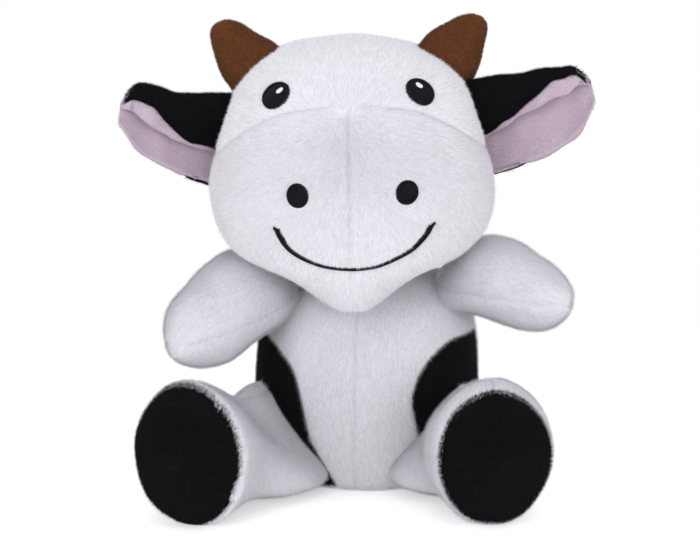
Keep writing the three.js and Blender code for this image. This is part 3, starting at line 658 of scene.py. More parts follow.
def leg_dips(form, sole_from):
    """Seams along the top and the bottom of a leg, and round its sole, in millimetres."""
    p = form.local / mm
    dips = furrow(np.abs(p[:, 0]), *limb_seam) * (p[:, 2] < sole_from)
    return dips + furrow(np.abs(p[:, 2] - sole_from), *sole_seam)


leg_cores = {}
# Hip, heading in degrees, shift of the foot, spread of the root, and how wide, how high and how
# far aside the sole is.
legs = (
    ("left", (-41.001, -14.999), -24, (-2.5, -5, 0), -4.5, (0.75, 0.84, -3)),
    ("right", (36.001, -12.002), 11, (0.6, 0, 0.6), 3, (1, 0.98, 0)),
)
for side, hip, turn, *settling in legs:
    heading = math.radians(turn)
    onward = Vector((math.sin(heading), -math.cos(heading), 0))
    hip_place = (hip[0], hip[1], hip_height)
    rest_half = floor_flat / 2
    middle = leg_shares[:, 3] * foot_half["high"] - hip_height - rest_half
    half = leg_shares[:, 2] * (foot_half["high"] + rest_half)
    leg_rings = np.column_stack([
        leg_shares[:, 0] * leg_length, leg_shares[:, 1] * foot_half["wide"],
        half - middle, half + middle, middle,
    ])
    leg = flared(Form(curve_through(leg_rings, 96), 120, aimed(hip_place, onward, (0, 0, 1))))
    leg = settled(leg, *settling)
    leg_cores[side] = (curve_through(leg_rings, 40), leg.place, *settling)
    leg.push(leg_dips(leg, sole_start) + lumps(leg.local, 20, 1.2, 3 if side == "left" else 4))
    leg.local[:, 1] = np.maximum(leg.local[:, 1], -hip_height * mm)
    leg_faces = middles(leg)
    shown = torso_surface.clears(leg, depth=3)
    sole_part = leg_faces[:, 2] > sole_start
    outer_part = leg_faces[:, 0] > 0
    body = f"leg_{side}"
    joint = ("torso", Vector(hip_place) * mm, (Vector(hip_place) + hip_bend * onward) * mm)
    along_leg = brushed(tuple(0.4 * onward + Vector((0, 0, -1))))
    first_seed = 30 + 4 * (side == "left")
    for seed, (part, which) in enumerate((("leg_inner", ~outer_part), ("leg_outer", outer_part))):
        panel(f"{part}_{side}", leg, shown & ~sole_part & which, white_plush, along_leg,
              first_seed + seed, body, joint)
    foot = leg.place @ Vector((0, 4 * mm, leg_length * mm)) + Vector(settling[0]) * mm

    def from_middle(points, outward):
        return along_surface(points - np.array(foot), outward)

    panel(f"sole_{side}", leg, sole_part, black_plush, from_middle, first_seed + 2, body,
          length=sole_pile)


# Arms
# Two round white stubs that reach out and forward from the shoulders, each sewn from an upper
# and a lower panel. They are stuffed tight at the end and softer where they join the torso.

arm_shares = np.array([
    [-0.1, 0, 0, 0], [0.02, 0.6, 0.6, 0], [0.2, 0.86, 0.86, 0.18], [0.42, 1.02, 1.03, 0.33],
    [0.65, 1.05, 1.05, 0.27], [0.9, 0.98, 0.98, 0.1], [1.1, 0.84, 0.84, 0.02],
    [1.25, 0.58, 0.58, 0], [1.335, 0.3, 0.3, 0], [1.365, 0, 0, 0],
])
# Shoulder, direction, length and radius.
arms = (
    ("left", (-36.001, -13, 88.004), (-36, -29, -13.5), 48.3, 18.6),
    ("right", (36.001, -14, 90.003), (38, -24, -2), 44.5, 17),
)
shoulder_bend = 12
arm_cores = {}
for side, shoulder, reach, arm_length, arm_radius in arms:
    along, wide, high, arch = arm_shares.T
    arm_rings = np.column_stack([
        along * arm_length, wide * arm_radius, (high - arch) * arm_radius,
        (high + arch) * arm_radius, arch * arm_radius,
    ])
    arm = Form(curve_through(arm_rings, 80), 96, aimed(shoulder, reach, (0, 0, 1)))
    arm_cores[side] = (curve_through(arm_rings, 36), arm.place)
    dips = furrow(np.abs(arm.local[:, 1] / mm), *limb_seam)
    arm.push(dips + lumps(arm.local, 16, 1.2, 5 if side == "left" else 6))
    upper_part = middles(arm)[:, 1] > 0
    shown = torso_surface.clears(arm, depth=3)
    outward = Vector(reach).normalized()
    body = f"arm_{side}"
    joint = ("torso", Vector(shoulder) * mm, (Vector(shoulder) + shoulder_bend * outward) * mm)
    along_arm = brushed(tuple(outward + Vector((0, 0, -0.4))))
    for seed, (part, which) in enumerate((("arm_upper", upper_part), ("arm_lower", ~upper_part))):
        panel(f"{part}_{side}", arm, shown & which, white_plush, along_arm,
              50 + 4 * (side == "left") + seed, body, joint)


# Head
# A broad muzzle that swells forward under a lower forehead, sewn from two muzzle panels, a
# forehead panel above the arched brow seam and two back panels, all of the white plush.

head_half = {"wide": 61, "fore": 71, "aft": 52, "high": 111.5}
side_seam_depth = 6
brow_seam, parting_seam = (0.3, 1.5), (0.12, 2.2)
muzzle_puff, puff_within, slack = 0.8, 5, 0.3
head_frame = (Matrix.Translation(Vector((-5.4995, -4.9995, 86.4997)) * mm)
              @ Matrix.Rotation(math.radians(-1.5), 4, "Y")
              @ Matrix.Rotation(math.radians(-1.2), 4, "Z"))
head_shares = np.array([
    [0, 0.06, 0.72, -0.9, -0.7], [0.02, 0.15, 0.79, -0.76, -0.68],
    [0.062, 0.275, 0.87, -0.4, -0.58], [0.118, 0.47, 0.935, 0.24, -0.4],
    [0.166, 0.7, 0.965, 0.62, -0.28], [0.22, 0.87, 0.985, 0.79, -0.21],
    [0.31, 0.97, 1, 0.9, -0.18], [0.444, 1, 0.965, 0.98, -0.15], [0.57, 0.968, 0.88, 1, -0.09],
    [0.677, 0.92, 0.775, 0.98, -0.03], [0.794, 0.85, 0.675, 0.9, 0],
    [0.892, 0.71, 0.55, 0.75, 0], [0.96, 0.48, 0.38, 0.52, 0], [0.991, 0.25, 0.2, 0.27, 0],
    [1, 0, 0, 0, 0],
])
brow = closed_curve([
    [-1.3, 0.4], [-1.02, 0.535], [-0.8, 0.645], [-0.5, 0.738], [-0.2, 0.768], [0, 0.772],
    [0.2, 0.768], [0.5, 0.738], [0.8, 0.645], [1.02, 0.535], [1.3, 0.4], [1.4, 1.3], [-1.4, 1.3],
], head_half["wide"], head_half["high"])

head = Form(rings_of(head_shares, head_half, 130), 200, head_frame)
head_mm = head.local / mm
to_brow = onto(head_mm[:, [0, 2]], brow)[1]
out_of_reach = 40
to_brow[head_mm[:, 1] > 0] = out_of_reach
to_middle = np.abs(head_mm[:, 0])
to_side = np.abs(head_mm[:, 1] - side_seam_depth)
over_seam = within(head_mm[:, [0, 2]], brow)
to_middle[over_seam] = out_of_reach
puffed = np.where(over_seam, 0, muzzle_puff) * (1 - np.exp(-to_brow / puff_within)) - slack
dips = (furrow(to_brow, *brow_seam) + furrow(to_middle, *parting_seam)
        + furrow(to_side, *side_seam))
head.push(dips + puffed + lumps(head.local, 24, 1.1, 2))
sewn_along(head, brow, 0)


face = Surface(head)


# Eyes, nostrils and smile
# Black satin stitch, each thread laid across the shape beside the last one over a thin pad and
# drawn down into the cloth at its ends, with a bordering ring; white thread for the highlights.


def thread_tree():
    """Turns each path of a mesh of edges into a round thread."""
    tree, given, result = geometry_tree("thread", "Paths", {
        "Float": ("Thread radius", "Unevenness"), "Int": ("Seed",), "Material": ("Finish",),
    }, "Threads")
    stray = add(tree, "FunctionNodeRandomValue", {
        0: (-1, -1, -1), 1: (1, 1, 1), "Seed": given["Seed"]}, data_type="FLOAT_VECTOR")
    amount = add(tree, "ShaderNodeVectorMath", {
        0: stray.outputs[0], "Scale": given["Unevenness"]}, operation="SCALE")
    moved = add(tree, "GeometryNodeSetPosition", {
        "Geometry": given["Paths"], "Offset": amount.outputs[0]})
    curves = add(tree, "GeometryNodeMeshToCurve", {"Mesh": moved.outputs["Geometry"]})
    profile = add(tree, "GeometryNodeCurvePrimitiveCircle", {
        "Resolution": 5, "Radius": given["Thread radius"]})
    swept = add(tree, "GeometryNodeCurveToMesh", {
        "Curve": curves.outputs["Curve"], "Profile Curve": profile.outputs["Curve"],
        "Fill Caps": True})
    soft = add(tree, "GeometryNodeSetShadeSmooth", {"Geometry": swept.outputs["Mesh"]})
    real = add(tree, "GeometryNodeRealizeInstances", {"Geometry": soft.outputs["Geometry"]})
    dyed = add(tree, "GeometryNodeSetMaterial", {
        "Geometry": real.outputs["Geometry"], "Material": given["Finish"]})
    feed(tree, result, {"Threads": dyed.outputs["Geometry"]})
    return tree


thread = thread_tree()
black_thread = finish("black thread", (0.002, 0.002, 0.004), (0.007, 0.007, 0.011), 700, 0.45)
white_thread = finish("white thread", (0.86, 0.84, 0.93), (0.92, 0.90, 0.97), 700, 0.45, 0.1)


def oval_stitches(centre, half_long, half_wide, tilt, spacing):
    """Stitches laid side by side across an oval, as pairs of ends in the front view."""
    along = np.array([math.cos(tilt), math.sin(tilt)])
    across = np.array([-math.sin(tilt), math.cos(tilt)])
    count = int(2 * half_long / spacing)
    pairs = []
    for k in range(count):
        u = -1 + (2 * k + 1) / count
        reach = half_wide * math.sqrt(max(1 - u * u, 0.0))
        middle = np.array(centre) + along * u * half_long
        pairs.append((middle - across * reach, middle + across * reach))
    return pairs


def ring_stitches(centre, half_long, half_wide, tilt, length, spacing):
    """Short stitches that stand round the edge of an oval."""
    around = math.pi * (half_long + half_wide)
    count = int(around / spacing)
    pairs = []
    for k in range(count):
        angle = 2 * math.pi * k / count
        spot = np.array([half_long * math.cos(angle), half_wide * math.sin(angle)])
        outward = np.array([math.cos(angle) / half_long, math.sin(angle) / half_wide])
        outward /= np.linalg.norm(outward)
        turn = np.array([[math.cos(tilt), -math.sin(tilt)], [math.sin(tilt), math.cos(tilt)]])
        start = np.array(centre) + turn @ (spot - outward * length)
        pairs.append((start, np.array(centre) + turn @ (spot + outward * 0.15)))
    return pairs


drawn_under = 0.2


def lay_stitches(pairs, rise, pad, steps=6):
    """Paths over the face, raised in the middle and drawn in at both ends."""
    points, edges = [], []
    for start, end in pairs:
        first = len(points)
        for k in range(steps + 1):
            t = k / steps
            spot = start + (end - start) * t
            arch = math.sqrt(max(1 - (2 * t - 1) ** 2, 0.0))
            lift = -drawn_under + (rise + drawn_under) * min(arch * 1.6, 1) + pad * arch
            points.append(face.at(*spot, lift))
        edges += [(first + k, first + k + 1) for k in range(steps)]
    return points, edges


def strung(name, paths):
    """Paths as an object of bare edges, for the threads to follow."""
    points, edges = paths
    mesh = bpy.data.meshes.new(name)
    mesh.from_pydata([tuple(p) for p in points], edges, [])
    return placed(name, mesh)


def embroider(name, paths, radius, material, seed, uneven=0.05):
    """Threads along the paths, as one stitched piece of the head."""
    holder = strung(f"{name}_paths", paths)
    modifier = holder.modifiers.new("thread", "NODES")
    modifier.node_group = thread
    set_inputs(modifier, thread, {
        "Thread radius": radius * mm, "Unevenness": uneven * mm, "Seed": seed, "Finish": material,
    })
    made = evaluated(holder, f"{name}_stitches")
    bpy.data.objects.remove(holder)
    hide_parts(name)
    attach(made, "head")


def joined(*groups):
    """Several groups of paths as one."""
    points, edges = [], []
    for more_points, more_edges in groups:
        edges += [(a + len(points), b + len(points)) for a, b in more_edges]
        points += more_points
    return points, edges


thread_radius, fill_spacing, ring_spacing, ring_overlap = 0.24, 0.34, 0.36, 0.5
stitched_over = []


def stitched_oval(name, centre, half, fill_tilt, ring_tilt, ring_length, pad, seed):
    """An oval of black stitches with its bordering ring."""
    fill = oval_stitches(centre, half[0] - ring_overlap, half[1] - ring_overlap, fill_tilt,
                         fill_spacing)
    ring = ring_stitches(centre, *half, ring_tilt, ring_length, ring_spacing)
    stitched_over.extend(fill + ring)
    paths = joined(lay_stitches(fill, 0.45, pad), lay_stitches(ring, 0.6, 0.25, 4))
    embroider(name, paths, thread_radius, black_thread, seed)


eye_place, eye_half, eye_tilt = (30.6, 90.3), (6.6, 4.6), math.radians(35)
nostril_places, nostril_half = {"left": (-21.6, 50.8), "right": (24.3, 51.0)}, (4.6, 4.8)
highlight_offset = {"left": (2.0, 1.8), "right": (-0.6, 2.3)}
for side, sign in (("left", -1), ("right", 1)):
    centre = (sign * eye_place[0], eye_place[1])
    tilt = -sign * eye_tilt
    stitched_oval(f"eye_{side}", centre, eye_half, tilt, tilt, 1.2, 0.5, 70)
    shine = (centre[0] + highlight_offset[side][0], centre[1] + highlight_offset[side][1])
    light = oval_stitches(shine, 1.6, 1.05, tilt, 0.3)
    embroider(f"eye_glint_{side}", lay_stitches(light, 1.25, 0.2, 4), 0.2, white_thread,
              72, 0.03)
    stitched_oval(f"nostril_{side}", nostril_places[side], nostril_half, 0.5, 0, 1.3, 0.4, 74)

smile_path = curve_through(np.array([
    [-30.4, 36.2], [-29.2, 33.4], [-25.5, 28.4], [-19.3, 24.3], [-10.5, 21.2], [-0.8, 19.9],
    [7.5, 20.2], [14.4, 21.8], [25.0, 26.6], [31.2, 32.2], [34.0, 36.4],
]), 400)
smile_steps = np.linalg.norm(np.diff(smile_path, axis=0), axis=1)
smile_steps = np.concatenate([[0], np.cumsum(smile_steps)])
look_on, slant = 0.5, 0.35
tick_half, tick_clear = (0, 0.75), (0, 0.4)
smile_count = int(smile_steps[-1] / ring_spacing)


def on_smile(along):
    """The spot of the smile at a length along it."""
    return np.array([np.interp(along, smile_steps, smile_path[:, c]) for c in (0, 1)])


smile_pairs, smile_clear = [], []
for k in range(smile_count + 1):
    u = -1 + 2 * k / smile_count
    here = (u + 1) / 2 * smile_steps[-1]
    spot = on_smile(here)
    onward = on_smile(here + look_on) - on_smile(here - look_on)
    onward = onward / max(np.linalg.norm(onward), 1e-9)
    outward = np.array([onward[1], -onward[0]])
    # The line is widest at its ends, and in the middle the pile covers more of it.
    along = onward * slant
    wide = outward * (0.55 + 0.7 * min(1.0, (abs(u) * 1.15) ** 2))
    shown = 0.25 + 0.75 * min(1.0, (abs(u) * 1.2) ** 3)
    smile_pairs.append((spot - wide - along, spot + wide + along))
    smile_clear.append((spot - wide * shown, spot + wide * shown))
# Each end turns out in a short tick of upright stitches.
for corner, tick in ((smile_path[0], (-1.7, 1.0)), (smile_path[-1], (1.7, 1.0))):
    for share in (0, 0.2, 0.4, 0.6, 0.8):
        spot = corner + np.array(tick) * share
        smile_pairs.append((spot + tick_half, spot - tick_half))
        smile_clear.append((spot + tick_clear, spot - tick_clear))
stitched_over += smile_clear
embroider("smile", lay_stitches(smile_pairs, 0.7, 0.35, 5), thread_radius, black_thread,
          76)

# The stitches once more as bare edges, which keep the pile off them.
stitched_area = strung("stitched over", lay_stitches(stitched_over, 0.0, 0.0, 3))


# Head panels
# The five panels of the head with their pile. It is brushed out of a parting in the middle of
# the brow, down and outwards over the muzzle and up over the forehead.

head_faces = middles(head)
in_front = head_faces[:, 1] < side_seam_depth
over_brow = within(head_faces[:, [0, 2]], brow) & in_front
on_left = head_faces[:, 0] < 0
parting = head_frame @ (Vector((0, -64, 84)) * mm)


def combed_out(rise):
    """The nap runs away from the parting and up or down, and straight beside the middle seam."""
    def nap(points, outward):
        away = points - np.array(parting)
        across = np.array(head_frame.col[0].xyz)
        beside = np.abs((points - np.array(head_frame.translation)) @ across)
        away /= np.maximum(np.linalg.norm(away, axis=1, keepdims=True), 1e-9)
        away[:, 0] *= 1 - np.exp(-((beside / (7 * mm)) ** 2))
        away[:, 2] += rise
        return along_surface(away, outward)
    return nap


head_panels = [
    ("forehead", over_brow, combed_out(0.15)),
    ("muzzle_left", in_front & ~over_brow & on_left, combed_out(-0.5)),
    ("muzzle_right", in_front & ~over_brow & ~on_left, combed_out(-0.5)),
    ("head_back_left", ~in_front & on_left, brushed((0, 0.3, -1))),
    ("head_back_right", ~in_front & ~on_left, brushed((0, 0.3, -1))),
]
for seed, (node, mask, nap) in enumerate(head_panels):
    stitched = {} if "back" in node else {"clear_of": stitched_area, "clearance": 0.4}
    panel(node, head, mask, white_plush, nap, 80 + seed, "head", **stitched)
bpy.data.objects.remove(stitched_area)


# Horns
# Two short cones of brown velvet over fibre, flattened front to back, seamed down the sides and
# sewn into the head where the forehead meets the back.

horn_length, horn_sink = 27, 4
horn_half = {"wide": 14, "deep": 10}
horn_root, horn_splay = (41.3, 98.3), math.radians(38.4)
horn_backing, horn_seam = 1.4, (0.4, 1.1)
horn_shares = np.array([
    [0, 0, 0], [0.02, 0.93, 0.85], [0.22, 1, 1], [0.45, 0.86, 0.86], [0.7, 0.64, 0.66],
    [0.86, 0.47, 0.5], [0.955, 0.29, 0.32], [1, 0, 0],
])
brown_cloth = finish("brown cloth", (0.105, 0.036, 0.012), (0.140, 0.050, 0.018), 160, 0.95,
                     bump=0.6, bump_scale=1800)
brown_pile = by_strand(
    finish("brown velvet pile", (0.105, 0.036, 0.013), (0.185, 0.068, 0.027), 420, 0.9, 0.08),
    0.6, 1.35)
brown_plush = ("brown_plush", brown_cloth, brown_pile)


def straight_rings(at, wide, fore, aft):
    """Rings round a straight line."""
    return np.column_stack([at, wide, fore, aft, np.zeros(len(at))])


horn_cores = {}
for side, sign in (("left", -1), ("right", 1)):
    whole = horn_length + horn_sink
    deep = horn_shares[:, 2] * horn_half["deep"]
    horn_rings = straight_rings(
        horn_shares[:, 0] * whole - horn_sink, horn_shares[:, 1] * horn_half["wide"], deep, deep)
    upward = (sign * math.sin(horn_splay), 0, math.cos(horn_splay))
    horn = Form(curve_through(horn_rings, 60), 80,
                head_frame @ aimed((sign * horn_root[0], 0, horn_root[1]), upward, (0, 1, 0)))
    horn_cores[side] = (curve_through(horn_rings, 30), horn.place)
    dips = furrow(np.abs(horn.local[:, 1] / mm), *horn_seam)
    horn.push(dips + lumps(horn.local, 11, 1.0, 7 + sign))
    shown = face.clears(horn, depth=1.2)
    tip_ward = brushed(tuple(head_frame.to_3x3() @ Vector(upward)))
    panel(f"horn_{side}", horn, shown, brown_plush, tip_ward, 100 + sign, "head",
          backing=horn_backing, density=9, length=1.1, width=0.13, lean=0.45, scatter=0.3)


# Ears
# Each is one black leaf whose upper edge folds forward, lined with pink velour. The lining is
# sewn along the leaf's edge and rolls out under the fold as a narrow lip.

ear_half = 20.5
ear_cup = 7.0
ear_forward = math.radians(12)
ear_steps, root_steps = 48, 7
leaf_gap, lip_gap, ear_bow, tuck_depth = 1.5, 1.2, 1.6, 2.4
ear_bend = 9
hem_turn = np.array([[-0.9, 2.3], [-1.4, 1.4], [-0.9, 0.5]])
# Where the lower and upper edges run at places along the ear, as shares of the half width.
edge_rows = {
    "left": [[0, 1, 0.97], [0.28, 0.9, 0.86], [0.51, 0.77, 0.77], [0.735, 0.6, 0.84],
             [0.905, 0.28, 0.78], [1, 0.02, 0.36]],
    "right": [[0, 1, 1], [0.25, 0.96, 0.96], [0.5, 0.89, 0.87], [0.68, 0.75, 0.865],
              [0.81, 0.585, 0.8], [0.91, 0.37, 0.74], [1, 0.05, 0.4]],
}
# How far the flap hangs down at places along the ear, as a share of its height.
flap_rows = {
    "left": [[0, 0.6], [0.27, 0.57], [0.45, 0.47], [0.55, 0.37], [0.73, 0.25], [0.9, 0.18],
             [1, 0.15]],
    "right": [[0, 0.57], [0.23, 0.47], [0.32, 0.41], [0.5, 0.28], [0.68, 0.13], [0.81, 0.1],
              [1, 0.07]],
}
# How wide the lip is there, in millimetres.
lip_rows = {
    "left": [[0, 0.5], [0.28, 1.2], [0.51, 4.5], [0.735, 7.5], [0.905, 6], [1, 0.4]],
    "right": [[0, 0.5], [0.23, 1.2], [0.32, 1.6], [0.5, 4], [0.68, 7], [0.81, 7.5],
              [0.91, 4.5], [1, 0.4]],
}
pink_cloth = finish("pink velour", (0.50, 0.40, 0.48), (0.57, 0.47, 0.56), 120, 0.95, 0.1,
                    bump=0.5, bump_scale=1800)
pink_pile = by_strand(
    finish("pink velour pile", (0.56, 0.46, 0.55), (0.65, 0.54, 0.64), 240, 0.9, 0.1), 0.86, 1.08)
pink_velour = ("pink_velour", pink_cloth, pink_pile)


class Leaf(Form):
    """An open sheet over a grid of points in metres, seen from the side its normals leave."""

    def __init__(self, grid, place, flipped=False):
        rows, columns = grid.shape[:2]
        self.local = grid.reshape(-1, 3).copy()
        first = (np.arange(rows - 1)[:, None] * columns + np.arange(columns - 1)[None, :]).ravel()
        quads = np.stack([first, first + 1, first + columns + 1, first + columns], axis=1)
        self.quads = quads[:, ::-1] if flipped else quads
        self.tris = np.zeros((0, 3), int)
        self.place = place
        self.normals = self.find_normals()


def set_off(line, distance):
    """A flat line moved sideways by a distance, to the right of its run."""
    along = np.gradient(line, axis=0)
    along /= np.maximum(np.linalg.norm(along, axis=1, keepdims=True), 1e-9)
    return line + np.column_stack([along[:, 1], -along[:, 0]]) * distance


def ear_section(up, edge_curve, flap_curve):
    """The seam line between leaf and lining across the ear: height and depth, in millimetres,
    from the lower edge through the cup, round the fold and down the flap."""
    low, high = (np.interp(up, edge_curve[:, 0], edge_curve[:, k]) * ear_half for k in (1, 2))
    half = (low + high) / 2
    flap = np.interp(up, *flap_curve.T) * 2 * half
    bend = float(np.clip(flap * 0.3, 0.5, 2.4))
    cup = ear_cup * min(1.0, half / 12)
    across = np.linspace(-half, half - bend, 26)
    hollow = np.column_stack([across, -cup * (across / half) ** 2])
    turn = np.linspace(-math.pi / 2 + 0.3, math.pi / 2, 9)
    edge_depth = hollow[-1, 1]
    top = np.column_stack([half - bend + bend * np.cos(turn),
                           edge_depth - bend - bend * np.sin(turn)])
    over = np.linspace(half - bend, half - max(flap, bend + 0.4), 15)[1:]
    fall = (half - bend - over) / max(flap - bend, 0.4)
    puff = 1.8 * np.sin(math.pi * np.clip(fall, 0, 1)) * min(1.0, flap / 18)
    front_line = top[-1, 1] + (0.6 * cup) * fall**1.5 * min(1.0, flap / 12) - puff
    line = np.vstack([hollow, top, np.column_stack([over, front_line])])
    return line + [(high - low) / 2, 0], bend


# Root on the head, length and upward angle.
ears = (
    ("left", -1, (-58.5, 2.0, 68.35), 46.0, math.radians(13)),
    ("right", 1, (58.93, 2.0, 70.69), 51.0, math.radians(14)),
)
for side, sign, root, length, rise in ears:
    outward = (sign * math.cos(rise) * math.cos(ear_forward),
               -math.cos(rise) * math.sin(ear_forward), math.sin(rise))
    ear_place = head_frame @ aimed(root, outward, (0, 1, 0))
    edge_curve, flap_curve, lip_curve = (
        curve_through(np.array(rows[side]), 60) for rows in (edge_rows, flap_rows, lip_rows))
    leaf_grid, lining_grid = [], []
    for k in range(-root_steps, ear_steps + 1):
        up = max(k, 0) / ear_steps
        section, bend = ear_section(min(up, 0.999), edge_curve, flap_curve)
        reach_out = k / ear_steps * length
        t = min(max((up - 0.2) / 0.25, 0), 1)
        tuck = tuck_depth * t * t * (3 - 2 * t)
        bow = ear_bow * math.sin(math.pi * up)
        # The leaf, whose lower edge is tucked in behind the lining's hem.
        leaf_line = set_off(section, -leaf_gap)
        tucked = min(tuck, 0.3 * abs(section[0, 0]))
        heights = np.linspace(leaf_line[0, 0] + tucked, leaf_line[8, 0], 9)[:8]
        leaf_line[:8] = np.column_stack([heights, np.interp(heights, *leaf_line[:12].T)])
        # The lining, from its hem through the cup to the lip that rolls out under the flap.
        inset = min(leaf_gap, bend * 0.6)
        inner_line = set_off(section, inset)
        lip = float(np.interp(up, *lip_curve.T))
        end = section[-1]
        roll = np.linspace(0, math.pi, 8)
        radius = (inset + lip_gap) / 2
        middle = np.array([end[0] - lip, inner_line[-1, 1] - radius])
        rolled = middle + radius * np.column_stack([-np.sin(roll), np.cos(roll)])
        under = rolled[-1, 1]
        back_up = np.array([[end[0] - lip * 0.4, under], [end[0] + 0.6, under + 0.5]])
        hem = inner_line[0] + hem_turn * min(1, tuck / 1.5) * min(1, (1 - up) / 0.2)
        lining_line = np.vstack([hem, inner_line, rolled, back_up])
        for line, grid in ((leaf_line, leaf_grid), (lining_line, lining_grid)):
            if k < ear_steps or grid is lining_grid:
                grid.append(np.column_stack([
                    -sign * line[:, 0], line[:, 1] - bow, np.full(len(line), reach_out)]) * mm)
    leaf = Leaf(np.array(leaf_grid), ear_place, flipped=sign < 0)
    lining = Leaf(np.array(lining_grid), ear_place, flipped=sign > 0)
    leaf.push(lumps(leaf.local, 9, 0.7, 21 + sign))
    lining.push(-lumps(lining.local, 9, 0.7, 21 + sign))
    tip_ward = brushed(tuple(head_frame.to_3x3() @ Vector(outward)))
    joint_span = (ear_place.translation.copy(), ear_place @ Vector((0, 0, ear_bend * mm)))
    # Thickness, first seed, and the density, length and width of the pile.
    sheets = (
        (f"ear_back_{side}", leaf, black_plush, 1.4, 110, (5, 1.8, 0.16)),
        (f"ear_lining_{side}", lining, pink_velour, 1.0, 112, (8, 0.8, 0.12)),
    )
    for node, sheet, plush, backing, seed, (density, tall, wide) in sheets:
        panel(node, sheet, face.clears(sheet, depth=1.5), plush, tip_ward, seed + sign,
              f"ear_{side}", ("head", *joint_span), backing, fill=0.2,
              density=density, length=tall, width=wide, lean=0.6, scatter=0.2)


# Tail
# A thin tube of the white plush, stuffed and sewn into the back seam. It ends in a tuft of the
# black plush with longer pile, sewn over the tube's end.

tail_fall = math.radians(38)
tail_place = torso_place @ aimed(
    (0, 42.5, 36), (0, math.cos(tail_fall), -math.sin(tail_fall)), (0, 0, 1))
tail_shares = np.array([
    [0, 0], [0.02, 0.9], [0.2, 1], [0.5, 0.9], [0.85, 0.85], [0.98, 0.75], [1, 0]])
tuft_shares = np.array([
    [0, 0], [0.03, 0.5], [0.25, 0.95], [0.5, 1], [0.78, 0.7], [0.95, 0.3], [1, 0]])
tail_backing, tail_bend = 1.2, 8
# Length, radius, start, plush and length of its pile.
tail_pieces = (
    ("tail", tail_shares, 29.6, 3.6, -3.6, white_plush, 2.2),
    ("tail_tuft", tuft_shares, 20, 6.5, 26.3, black_plush, 4.5),
)
tail_joint = (tail_place.translation.copy(), tail_place @ Vector((0, 0, tail_bend * mm)))
for node, shares, length, radius, start, plush, tall in tail_pieces:
    round_about = [shares[:, 1] * radius] * 3
    tail_rings = straight_rings(start + shares[:, 0] * length, *round_about)
    tube = Form(curve_through(tail_rings, 40), 32, tail_place)
    tube.push(lumps(tube.local, 5, 0.5, 9))
    away = tail_place.to_3x3() @ Vector((0, 0, 1))
    every = np.ones(len(tube.quads) + len(tube.tris), bool)
    panel(node, tube, every, plush, brushed(tuple(away)), 120, "tail",
          ("torso", *tail_joint) if node == "tail" else None, tail_backing,
          density=5, length=tall, width=0.2, lean=0.75)


# Filling
# White fibre that fills each sewn form and lies against its cloth, and a flat cotton pouch of
# pellets in the seat. All of it is out of sight unless a seam is opened.

fibre_fill = finish("polyester fibre", (0.86, 0.86, 0.84), (0.93, 0.93, 0.91), 400, 1.0, 0.3,
                    bump=1.0, bump_scale=700)
pouch_cotton = finish("pouch cotton", (0.62, 0.58, 0.50), (0.70, 0.66, 0.58), 60, 0.95, 0.05,
                      bump=0.8, bump_scale=2600)


def drawn_in(rings, distance):
    """Rings moved in from their cloth by a distance in millimetres."""
    low, high = rings[0, 0], rings[-1, 0]
    squeeze = 1 - 2 * distance / (high - low)
    inset = np.minimum(distance, (rings[:, 2] + rings[:, 3]) / 2)
    return np.column_stack([
        (low + high) / 2 + (rings[:, 0] - (low + high) / 2) * squeeze,
        np.maximum(rings[:, 1] - distance, 0), rings[:, 2] - inset, rings[:, 3] - inset,
        np.clip(rings[:, 4], -rings[:, 2] + inset, rings[:, 3] - inset),
    ])


def fill_with(node, form, body, clump, height, seed, material=fibre_fill):
    """A soft mass that takes the shape of its form, with its fibre in clumps."""
    form.push(lumps(form.local, clump, height, seed) - abs(height))
    mass = link(f"{node}_mass", form.world(), form.faces())
    mass.data.materials.append(material)
    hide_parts(node)
    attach(mass, body)


pouch_shares = np.array([[0, 0, 0, 0], [0.08, 0.62, 0.62, 0.62], [0.45, 0.74, 0.72, 0.72],
                         [0.9, 0.6, 0.6, 0.6], [1, 0, 0, 0]])
pouch_floor, pouch_high = 2.4, 14.5
pouch_rings = straight_rings(
    pouch_floor + pouch_shares[:, 0] * pouch_high, pouch_shares[:, 1] * torso_size["wide"],
    pouch_shares[:, 2] * torso_size["fore"], pouch_shares[:, 3] * torso_size["aft"])
fill_with("pellet_pouch", Form(curve_through(pouch_rings, 24), 64, torso_place), "torso",
          14, 0.8, 41, pouch_cotton)
neck_pivot = Vector((-5.4995, -4.0005, 97.0004))
neck_ball, neck_hollow = 17, 18
ball_angles = np.linspace(-math.pi / 2, math.pi / 2, 22)
ball_rings = straight_rings(
    neck_ball * np.sin(ball_angles), *[neck_ball * np.cos(ball_angles)] * 3)
fill_with("neck_stuffing", Form(ball_rings, 40, Matrix.Translation(neck_pivot * mm)), "neck",
          9, 0.5, 42)


def dented(form):
    """Presses a round hollow into a form where the neck's fibre sits."""
    centre = np.array(form.place.inverted() @ (neck_pivot * mm))
    away = form.local - centre
    far = np.linalg.norm(away, axis=1, keepdims=True)
    form.local = centre + away * np.maximum(neck_hollow * mm / np.maximum(far, 1e-6), 1)
    form.normals = form.find_normals()
    return form


